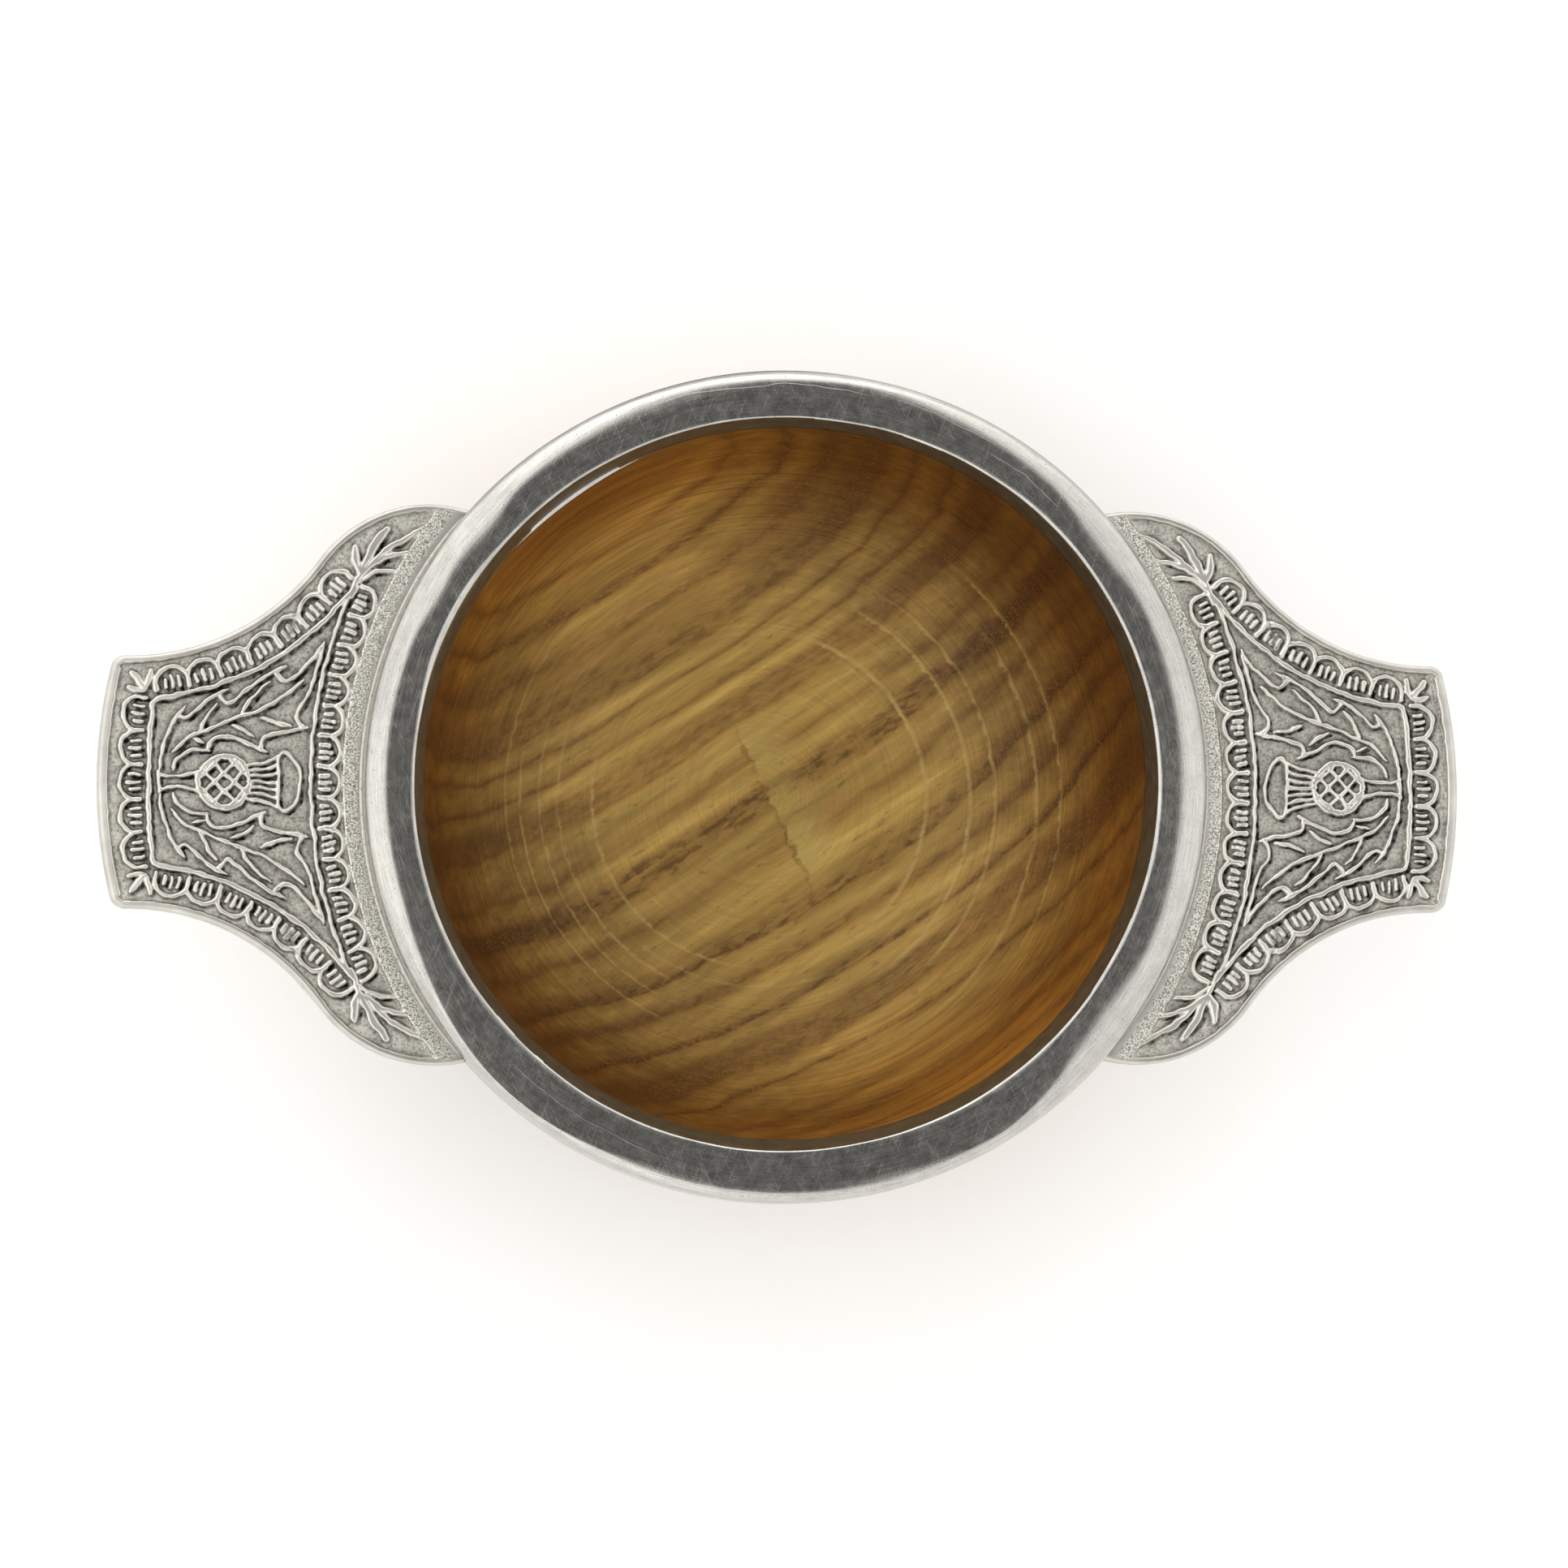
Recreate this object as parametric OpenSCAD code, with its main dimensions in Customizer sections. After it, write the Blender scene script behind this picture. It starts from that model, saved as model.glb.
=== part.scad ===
// Quaich: a turned oak cup with a cast pewter rim and two cast pewter lugs.
// Units are millimetres, +Z is up, the foot stands on z = 0 and the lugs lie along X.

/* [Cup] */
// outside diameter of the pewter rim
rim_d = 110; // [104:1:118]
// height from the table to the crown of the rim
cup_h = 46; // [42:1:54]
// depth of the drinking bowl below the crown
bowl_depth = 37.5; // [33:0.5:39]
// radius of the curve from the inner wall into the bottom
bowl_round = 30; // [26:0.5:32]
// outside diameter of the turned foot
foot_d = 55; // [50:1:60]
// height of the turned foot
foot_h = 4; // [3:0.5:6]
// width of the standing ring of the foot
foot_ring_w = 8; // [6:0.5:10]
// depth of the hollow under the foot
foot_hollow = 1.5; // [1:0.25:2]

/* [Rim] */
// width of the rim from its inner edge to its outside
rim_w = 6.6; // [6.2:0.1:7.5]
// depth of the rim from crown to the shoulders of the wood
rim_drop = 7; // [6.5:0.25:9]
// width of the rounded outer shoulder
rim_round = 3.2; // [2.4:0.1:3.4]
// fall of the rounded outer shoulder below the crown
rim_fall = 2.1; // [1.6:0.1:2.8]
// bevel filed on the inner edge of the crown
rim_bevel = 0.35; // [0.2:0.05:0.6]
// inward lean of the inner wall over its depth
rim_lean = 1.1; // [0.6:0.1:1.4]
// thickness of the two legs of the rim
rim_leg = 1.5; // [1.3:0.1:1.7]
// thickness of metal over the wooden tongue
rim_roof = 2.4; // [2:0.1:3]
// thickness of the cement between rim and wooden tongue
bond_t = 0.2; // [0.15:0.05:0.3]
// step of the wood inside the outer face of the rim
wood_step = 0.2; // [0.1:0.05:0.4]

/* [Lugs] */
// length of a lug from the rim to the middle of its tip
lug_len = 34.6; // [31:0.2:39]
// greatest width of a lug, near the rim
lug_w = 73; // [69:0.5:77]
// width of a lug across its tip corners
tip_w = 32.8; // [30:0.2:36]
// radius of the tip edge
tip_r = 64; // [52:1:80]
// radius of the hollow sides
waist_r = 30; // [27:0.5:34]
// radius of the round shoulders beside the rim
shoulder_r = 18.5; // [16.5:0.5:20]
// distance of the widest place inside the rim line
shoulder_set = 8.8; // [7.5:0.1:10]
// thickness of a lug
lug_t = 3; // [2.5:0.1:3.4]
// radius of the low arch of a lug along its length
arch_r = 260; // [200:10:360]
// fall of a lug where it leaves the rim, in degrees, below zero where it rises
arch_start = -3; // [-4:0.5:-1]
// distance of the top of the lug below the crown
lug_down = 3.4; // [3.3:0.1:3.8]
// thickness of the solder between lug and rim
solder_t = 0.2; // [0.15:0.05:0.3]

/* [Relief] */
// depth of the sunk ground
relief_h = 0.5; // [0.3:0.05:0.8]
// width of the plain border along the sides
border_w = 1.2; // [0.9:0.1:1.6]
// width of the plain border at the tip
tip_border_w = 1.7; // [1.3:0.1:2]
// width of the rough cast band beside the rim
root_band = 2; // [1.6:0.1:2.2]
// width of the frame lines
frame_line = 0.75; // [0.6:0.05:0.9]
// width of the leaf and thistle lines
leaf_line = 0.6; // [0.5:0.05:0.7]
// height of a scallop of the borders
scallop_h = 3; // [2.7:0.1:3.1]
// number of scallops along the rim
root_scallops = 13; // [11:2:15]
// number of scallops along a hollow side
side_scallops = 7; // [5:1:8]
// number of scallops along the tip
tip_scallops = 5; // [3:2:5]

/* [Hidden] */
$fn = 96;
oak = "Peru";
pewter = "Silver";
cement = "DarkKhaki";
tin = "LightSteelBlue";
rim_r = rim_d / 2;
in_r = rim_r - rim_w;
lip_r = in_r - rim_lean;
seat_z = cup_h - rim_drop;
roof_z = cup_h - rim_roof;
slot_in = in_r + rim_leg;
slot_out = rim_r - rim_leg;
wood_r = rim_r - wood_step;
floor_z = cup_h - bowl_depth;
floor_r = lip_r - bowl_round;
foot_r = foot_d / 2;
arc_n = 20;
end_margin = 1;

// places of the lug outline: reach from the cup axis, shoulder and waist centres
reach = rim_r + lug_len;
root_r = rim_r + solder_t;
field_r = root_r + root_band;
tip_c = [reach - tip_r, 0];
tip_p = [tip_c.x + sqrt(tip_r * tip_r - tip_w * tip_w / 4), tip_w / 2];
shoulder_c = [rim_r - shoulder_set, lug_w / 2 - shoulder_r];
waist_c = crossing(shoulder_c, shoulder_r + waist_r, tip_p, waist_r);
arch_x = rim_r - arch_r * sin(arch_start);
arch_z = cup_h - lug_down - arch_r * cos(arch_start);

// the relief is drawn for a lug of this length and half width and follows the lug in size
drawn_rim = 55;
drawn_len = 33.6;
drawn_half = 36;
frame_in = 5.3;
frame_tip = 6.2;
frame_tip_r = 90;
frame_root = 4.6;
scallop_gap = 0.55;
scallop_line = 0.62;
bar_w = 0.5;
bar_step = 0.9;
bar_len = 1.7;
root_pitch = 45.6 / (root_scallops - 1);
side_first = 260.6;
side_pitch = 42.6 / (side_scallops - 1);
tip_row = 17.4;
bulb_r = 3.65;
bulb_line = 0.7;
lattice_line = 0.6;
lattice_step = 1.75;
bulb_c = [72.75, 0];
crown_lines = 7;
crown_line = 0.42;

// one leaf, stroke by stroke: rim side, thistle side, midrib and veins
leaf = [
    [[80.8, 1.6], [80.5, 4.0], [79.6, 6.6], [78.7, 8.3], [77.7, 9.7]],
    [[78.5, 8.5], [77.5, 8.1], [75.6, 9.8], [73.8, 11.1], [72.3, 11.7]],
    [[73.6, 11.1], [72.9, 10.4], [72.3, 9.9], [71.4, 10.4], [69.5, 12.1], [67.0, 13.9], [64.9, 14.8]],
    [[66.6, 14.1], [65.9, 13.4], [65.1, 13.0], [63.8, 13.7], [61.9, 15.7], [60.3, 18.0]],
    [[79.2, 1.5], [78.8, 2.6], [77.5, 3.7], [76.0, 4.1], [74.7, 4.0]],
    [[74.9, 4.1], [74.6, 5.1], [73.6, 5.75], [71.8, 5.75], [69.5, 4.75], [67.5, 3.8]],
    [[68.0, 4.2], [68.2, 5.0], [67.6, 5.8], [65.5, 6.35], [62.3, 6.9]],
    [[62.7, 6.9], [63.5, 7.7], [63.6, 9.1], [62.4, 11.0], [61.4, 13.8], [60.3, 18.0]],
    [[79.3, 3.6], [77.6, 5.3], [75.8, 6.3], [70.9, 8.3], [68.0, 9.3], [65.0, 11.2], [62.8, 13.1]],
    [[75.9, 6.4], [74.9, 8.4], [73.7, 10.0]],
    [[70.7, 8.5], [69.4, 10.6], [67.0, 12.7]],
    [[71.8, 7.2], [70.2, 6.6], [69.0, 5.7]],
    [[68.2, 8.3], [66.5, 7.6], [64.4, 7.2]],
    [[76.6, 5.3], [75.3, 4.9]]
];
// half outlines of the thistle's stalk and tuft
stalk = [[75.7, 1.4], [76.6, 1.0], [78.0, 0.75], [79.8, 0.75], [80.9, 1.1]];
tuft = [[66.0, 0], [66.0, 1.6], [65.9, 3.0], [65.4, 3.8], [64.5, 3.4], [63.5, 1.9], [63.2, 0]];
stalk_end = [80.9, 1.3];
crown_foot = [69.7, 2.0];
crown_head = [65.9, 3.1];
// sprays in the corners: foot, then the tips of the blades with their widths
root_foot = [55.7, 26.6];
root_stem = [57.1, 23.9];
root_blades = [[[56.3, 30.4], 1.2], [[52.4, 32.6], 1.3], [[47.0, 33.1], 0.9], [[49.5, 29.7], 0.8], [[51.4, 27.4], 0.7]];
tip_foot = [82.6, 11.9];
tip_blades = [[[81.9, 14.2], 0.9], [[84.3, 13.9], 1.0], [[84.6, 11.9], 0.9]];

// where two circles cross, on the left of the way from a to b
function crossing(a, ra, b, rb) =
    let (d = norm(b - a), u = (b - a) / d, k = (ra * ra - rb * rb + d * d) / (2 * d))
    a + u * k + [-u.y, u.x] * sqrt(ra * ra - k * k);

function bearing(c, p) = atan2(p.y - c.y, p.x - c.x);

function arc(c, r, a, b, n) = [for (i = [0:n]) c + r * [cos(a + (b - a) * i / n), sin(a + (b - a) * i / n)]];

function flipped(pts) = [for (i = [len(pts) - 1:-1:0]) [pts[i].x, -pts[i].y]];

// half outline of a lug, drawn in from the edge by side and at the tip by end
function half_edge(side, end, end_r) =
    let (
        tc = [reach - end - end_r, 0],
        corner = crossing(waist_c, waist_r + side, tc, end_r),
        meet = bearing(shoulder_c, waist_c)
    )
    concat(
        arc(tc, end_r, 0, bearing(tc, corner), arc_n / 2),
        arc(waist_c, waist_r + side, bearing(waist_c, corner), meet - 180, arc_n),
        arc(shoulder_c, shoulder_r - side, meet, 130, arc_n / 2)
    );

// a drawn point, moved to a lug of the asked size
function placed(p) = [
    rim_r + (p.x - drawn_rim) * lug_len / drawn_len,
    p.y * lug_w / 2 / drawn_half
];

function bend(a, b, c, d, t) =
    ((2 * b) + (c - a) * t + (2 * a - 5 * b + 4 * c - d) * t * t + (3 * b - a - 3 * c + d) * t * t * t) / 2;

// a smooth line through the given points
function smooth(c) =
    let (n = len(c), k = 2)
    concat(
        [for (i = [0:n - 2]) for (j = [0:k - 1])
            bend(c[max(i - 1, 0)], c[i], c[i + 1], c[min(i + 2, n - 1)], j / k)],
        [c[n - 1]]
    );

function beside(p, i, h) =
    let (t = p[min(i + 1, len(p) - 1)] - p[max(i - 1, 0)])
    p[i] + [-t.y, t.x] / norm(t) * h;

module line(pts, w) {
    p = [for (q = pts) placed(q)];
    last = len(p) - 1;
    polygon(concat(
        [for (i = [0:last]) beside(p, i, i == 0 || i == last ? w / 3 : w / 2)],
        [for (i = [last:-1:0]) beside(p, i, i == 0 || i == last ? -w / 3 : -w / 2)]
    ));
}

module both_sides() {
    children();
    mirror([0, 1]) children();
}

module edge(side, end, end_r) {
    half = half_edge(side, end, end_r);
    polygon(concat(flipped(half), half));
}

// a scallop with three bars, standing on the x axis
module scallop(w) {
    r = w / 2;
    top = scallop_h - r;
    difference() {
        polygon(concat([[r, 0]], arc([0, top], r, 0, 180, 8), [[-r, 0]]));
        polygon(concat(
            [[r - scallop_line, -end_margin]],
            arc([0, top], r - scallop_line, 0, 180, 8),
            [[scallop_line - r, -end_margin]]
        ));
    }
    for (i = [-1:1])
        translate([i * bar_step - bar_w / 2, 0])
            square([bar_w, bar_len - (i == 0 ? 0 : 0.25)]);
}

// scallops round a centre, with their tops away from it or towards it
module scallop_row(c, r, first, pitch, count, away) {
    w = 2 * r * sin(abs(pitch) / 2) + scallop_line / 2;
    for (i = [0:count - 1])
        translate(c)
            rotate(first + i * pitch - 90)
                translate([0, r])
                    rotate(away ? 0 : 180)
                        scallop(w);
}

module spray(foot, blades) {
    for (b = blades)
        let (f = placed(foot), t = placed(b[0]), d = (t - f) / norm(t - f), n = [-d.y, d.x] * b[1] / 2)
        polygon([f - n / 2, f + (t - f) * 0.7 - n, t - n / 2, t + n / 2, f + (t - f) * 0.7 + n, f + n / 2]);
}

module frame() {
    difference() {
        edge(frame_in, frame_tip, frame_tip_r);
        circle(field_r + frame_root);
        difference() {
            edge(frame_in + frame_line, frame_tip + frame_line, frame_tip_r);
            circle(field_r + frame_root + frame_line);
        }
    }
}

module thistle() {
    translate(placed(bulb_c)) {
        difference() {
            circle(bulb_r);
            circle(bulb_r - bulb_line);
        }
        intersection() {
            circle(bulb_r - bulb_line / 2);
            for (a = [45, -45], i = [-1.5:1:1.5])
                rotate(a)
                    translate([i * lattice_step - lattice_line / 2, -bulb_r])
                        square([lattice_line, 2 * bulb_r]);
        }
    }
    for (i = [0:crown_lines - 1])
        let (k = 2 * i / (crown_lines - 1) - 1)
        line([[crown_foot.x, crown_foot.y * k], [crown_head.x, crown_head.y * k]], crown_line);
    both_sides() {
        line(smooth(stalk), leaf_line);
        line(smooth(tuft), leaf_line);
    }
    line([[stalk_end.x, -stalk_end.y], stalk_end], leaf_line);
}

module relief() {
    frame();
    thistle();
    both_sides() {
        for (s = leaf)
            line(smooth(s), leaf_line);
        line([root_stem, root_foot], 1.2);
        spray(root_foot, root_blades);
        spray(tip_foot, tip_blades);
        scallop_row(waist_c, waist_r + frame_in - scallop_gap,
            side_first, -side_pitch, side_scallops, false);
    }
    scallop_row([0, 0], field_r + frame_root - scallop_gap,
        -root_pitch * (root_scallops - 1) / 2, root_pitch, root_scallops, false);
    tip_row_r = frame_tip_r + scallop_gap;
    tip_pitch = 2 * asin(tip_row / 2 / tip_row_r) / (tip_scallops - 1);
    scallop_row([reach - frame_tip - frame_tip_r, 0], tip_row_r,
        -tip_pitch * (tip_scallops - 1) / 2, tip_pitch, tip_scallops, true);
}

// everything inside the arch of the lugs at a depth below their top
module arch(depth) {
    translate([arch_x, 0, arch_z])
        rotate([90, 0, 0])
            cylinder(r = arch_r - depth, h = 2 * lug_w, center = true);
}

module prism() {
    translate([0, 0, foot_h])
        linear_extrude(height = cup_h)
            children();
}

module lug() {
    difference() {
        intersection() {
            prism() difference() {
                edge(0, 0, tip_r);
                circle(root_r);
            }
            arch(0);
        }
        arch(lug_t);
        difference() {
            prism() difference() {
                edge(border_w, tip_border_w, tip_r - tip_border_w);
                circle(field_r);
                relief();
            }
            arch(relief_h);
        }
    }
}

module solder() {
    difference() {
        intersection() {
            prism() intersection() {
                edge(0, 0, tip_r);
                difference() {
                    circle(root_r);
                    circle(rim_r);
                }
            }
            arch(0);
        }
        arch(lug_t);
    }
}

module bowl() {
    body_r = ((wood_r - foot_r) * (wood_r - foot_r) + (seat_z - foot_h) * (seat_z - foot_h))
        / 2 / (wood_r - foot_r);
    out_c = [wood_r - body_r, seat_z];
    color(oak) rotate_extrude() polygon(concat(
        [[0, foot_hollow], [foot_r - foot_ring_w, foot_hollow], [foot_r - foot_ring_w, 0], [foot_r, 0]],
        arc(out_c, body_r, bearing(out_c, [foot_r, foot_h]), 0, arc_n),
        [[slot_out - bond_t, seat_z], [slot_out - bond_t, roof_z - bond_t],
         [slot_in + bond_t, roof_z - bond_t], [slot_in + bond_t, seat_z]],
        arc([floor_r, floor_z + bowl_round], bowl_round,
            asin((seat_z - floor_z - bowl_round) / bowl_round), -90, arc_n),
        [[0, floor_z]]
    ));
}

module rim() {
    color(pewter) rotate_extrude() polygon(concat(
        [[lip_r, seat_z], [in_r, cup_h - rim_bevel], [in_r + rim_bevel, cup_h]],
        [for (p = arc([0, 0], 1, 90, 0, 12)) [rim_r + rim_round * (p.x - 1), cup_h + rim_fall * (p.y - 1)]],
        [[rim_r, seat_z], [slot_out, seat_z], [slot_out, roof_z], [slot_in, roof_z], [slot_in, seat_z]]
    ));
}

module rim_bond() {
    color(cement) rotate_extrude() polygon([
        [slot_in, seat_z], [slot_in, roof_z], [slot_out, roof_z], [slot_out, seat_z],
        [slot_out - bond_t, seat_z], [slot_out - bond_t, roof_z - bond_t],
        [slot_in + bond_t, roof_z - bond_t], [slot_in + bond_t, seat_z]
    ]);
}

module right_lug() {
    color(pewter) lug();
}

module left_lug() {
    color(pewter) rotate(180) lug();
}

module right_solder() {
    color(tin) solder();
}

module left_solder() {
    color(tin) rotate(180) solder();
}

bowl();
rim();
rim_bond();
left_lug();
right_lug();
left_solder();
right_solder();
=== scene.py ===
from functools import partial
from math import asin, atan2, cos, degrees, pi, radians, sin, sqrt, tan

import bmesh
import bpy
from mathutils import Matrix, Vector


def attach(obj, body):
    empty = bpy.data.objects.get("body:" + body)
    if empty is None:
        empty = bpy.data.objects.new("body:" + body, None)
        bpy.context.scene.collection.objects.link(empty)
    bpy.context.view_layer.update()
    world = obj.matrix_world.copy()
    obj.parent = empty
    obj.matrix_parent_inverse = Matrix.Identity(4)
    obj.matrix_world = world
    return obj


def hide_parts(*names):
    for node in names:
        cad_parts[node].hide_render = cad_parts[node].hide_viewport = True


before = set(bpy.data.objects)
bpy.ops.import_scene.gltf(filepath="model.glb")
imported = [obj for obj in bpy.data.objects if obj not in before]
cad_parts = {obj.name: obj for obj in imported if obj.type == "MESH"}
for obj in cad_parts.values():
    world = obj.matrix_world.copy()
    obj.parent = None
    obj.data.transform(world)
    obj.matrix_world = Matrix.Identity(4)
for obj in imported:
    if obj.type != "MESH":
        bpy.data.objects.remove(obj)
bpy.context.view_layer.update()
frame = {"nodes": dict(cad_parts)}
mm = 0.001
print("frame loaded:", ", ".join(frame["nodes"]))


def linearHex(code):
    def channel(c):
        c /= 255
        return c / 12.92 if c <= 0.04045 else ((c + 0.055) / 1.055) ** 2.4
    return tuple(channel(int(code[i:i + 2], 16)) for i in (1, 3, 5)) + (1.0,)


def addNode(tree, kind, *values, out=None, **settings):
    # kind: a node's name and, after a dot, its main choice, or a sum in capitals; values: its live inputs in order
    kind, _, choice = ("Math." + kind if kind.isupper() else kind).partition(".")
    families = (tree.bl_idname.removesuffix("Tree"), "ShaderNode", "")
    node = tree.nodes.new(next(family + kind for family in families if hasattr(bpy.types, family + kind)))
    if choice:
        setattr(node, {"Mix": "data_type", "MapRange": "interpolation_type"}.get(kind, "operation"), choice)
    for key, value in settings.items():
        setattr(node, key, value)
    if values and isinstance(values[0], dict):
        pairs = [(node.inputs[key], value) for key, value in values[0].items()]
    else:
        pairs = zip([socket for socket in node.inputs if socket.enabled], values)
    for socket, value in pairs:
        if isinstance(value, bpy.types.NodeSocket):
            tree.links.new(value, socket)
        else:
            isColour = isinstance(value, str) and value.startswith("#")
            socket.default_value = linearHex(value) if isColour else value
    return node.outputs[out] if out else next((socket for socket in node.outputs if socket.enabled), None)


def newMaterial(name):
    material = bpy.data.materials.new(name)
    material.use_nodes = True
    material.node_tree.nodes.clear()
    return material, partial(addNode, material.node_tree)


def closeMaterial(add, looks):
    add("OutputMaterial", add("BsdfPrincipled", looks))


def setRamp(add, factor, stops):
    colour = add("ValToRGB", factor)
    ramp = colour.node.color_ramp
    while len(ramp.elements) < len(stops):
        ramp.elements.new(0.5)
    for element, (place, code) in zip(ramp.elements, stops):
        element.position = place
        element.color = linearHex(code)
    return colour


def grainyTone(add, scale, stops, detail=3.0):
    grain = add("TexNoise", add("TexCoord", out="Object"), scale, detail)
    return grain, setRamp(add, grain, stops)


def stretchedNoise(add, vector, scale, detail, roughness=0.5):
    moved = add("Mapping", {"Vector": vector, "Scale": scale})
    return add("TexNoise", moved, 1.0, detail, roughness)


def arcMark(add, way, bearing, lineR, lineW, strength, middle, halfArc):
    # how much of a line round the axis shows here: its place, half width and strength, then its arc in degrees
    off = add("ABSOLUTE", add("SUBTRACT", way, lineR))
    mark = add("MapRange", off, lineW, lineW * 0.2, 0.0, strength)
    turn, edge = radians(middle), cos(radians(halfArc))
    span = add("VectorMath.DOT_PRODUCT", bearing, (cos(turn), sin(turn), 0))
    fade = (1 - edge) * 0.4
    span = add("MapRange", span, edge, edge + fade)
    return add("MULTIPLY", mark, span)


def linkObject(name, data):
    obj = bpy.data.objects.new(name, data)
    bpy.context.scene.collection.objects.link(obj)
    return obj


def makeMesh(name, points, faces):
    mesh = bpy.data.meshes.new(name)
    mesh.from_pydata([(x * mm, y * mm, z * mm) for x, y, z in points], [], faces)
    shell = bmesh.new()
    shell.from_mesh(mesh)
    bmesh.ops.recalc_face_normals(shell, faces=shell.faces)
    shell.to_mesh(mesh)
    shell.free()
    mesh.polygons.foreach_set("use_smooth", [True] * len(mesh.polygons))
    return mesh


def finishPiece(mesh, material, sharpAngle):
    mesh.set_sharp_from_angle(angle=radians(sharpAngle))
    mesh.materials.append(material)
    return linkObject(mesh.name, mesh)


# camera: above the cup, a little towards its left and near side
cameraSet = {"aim": (-0.51, 0.09, 43), "distance": 800, "towardsLeft": 7.3, "towardsNear": 4.4, "roll": -0.22,
             "lens": 140.8}
cameraBack = Vector((-tan(radians(cameraSet["towardsLeft"])),
                     -tan(radians(cameraSet["towardsNear"])), 1)).normalized()
cameraRight = Vector((0, 1, 0)).cross(cameraBack).normalized()
cameraTurn = Matrix((cameraRight, cameraBack.cross(cameraRight), cameraBack)).transposed()
cameraTurn = cameraTurn @ Matrix.Rotation(radians(cameraSet["roll"]), 3, "Z")
cameraData = bpy.data.cameras.new("photoCamera")
cameraData.lens = cameraSet["lens"]
cameraData.sensor_width = 36
cameraData.sensor_fit = "HORIZONTAL"
cameraData.clip_start = 0.01
camera = linkObject("photoCamera", cameraData)
camera.matrix_world = Matrix.LocRotScale(
    (Vector(cameraSet["aim"]) + cameraBack * cameraSet["distance"]) * mm, cameraTurn.to_quaternion(), None)
bpy.context.scene.camera = camera
bpy.context.scene.view_settings.view_transform = "Standard"
print("camera set")


# turned oak: golden summer wood, dark dashes of spring pores, oiled to a low sheen
oakSet = {"grainTurn": 33, "ringPitch": 5.5, "pith": (-88, 44), "poreLength": 2.6, "poreWidth": 0.46,
          "stitch": (0.8, 0.3), "axis": (0.42, 0.69), "fleck": (1.9, 0.12, -2.0, 12.5), "seam": (38.1, 38.8),
          "turnedLines": [  # radius, half width, strength, middle and half of its arc in degrees
              (22.9, 0.42, 0.75, 8, 75), (22.9, 0.36, 0.55, 214, 52), (28.8, 0.36, 0.55, 2, 66),
              (32.0, 0.32, 0.48, 5, 56), (37.2, 0.32, 0.35, -10, 50), (27.6, 0.26, 0.42, 202, 46),
              (30.2, 0.26, 0.42, 205, 44), (33.0, 0.26, 0.38, 208, 40), (25.6, 0.3, 0.32, 285, 50),
              (35.0, 0.24, 0.3, 170, 40), (40.0, 0.24, 0.3, 10, 44)],
          "scoredLines": [  # the same, by distance up the wall
              (57.4, 0.12, 0.5, 104, 30), (62.3, 0.13, 0.55, 122, 36), (66.0, 0.14, 0.6, 114, 38),
              (69.5, 0.12, 0.55, 126, 34), (73.0, 0.14, 0.6, 130, 42), (68.0, 0.12, 0.45, -52, 34),
              (74.0, 0.12, 0.5, -40, 38), (70.5, 0.12, 0.4, -30, 30)]}


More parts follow.
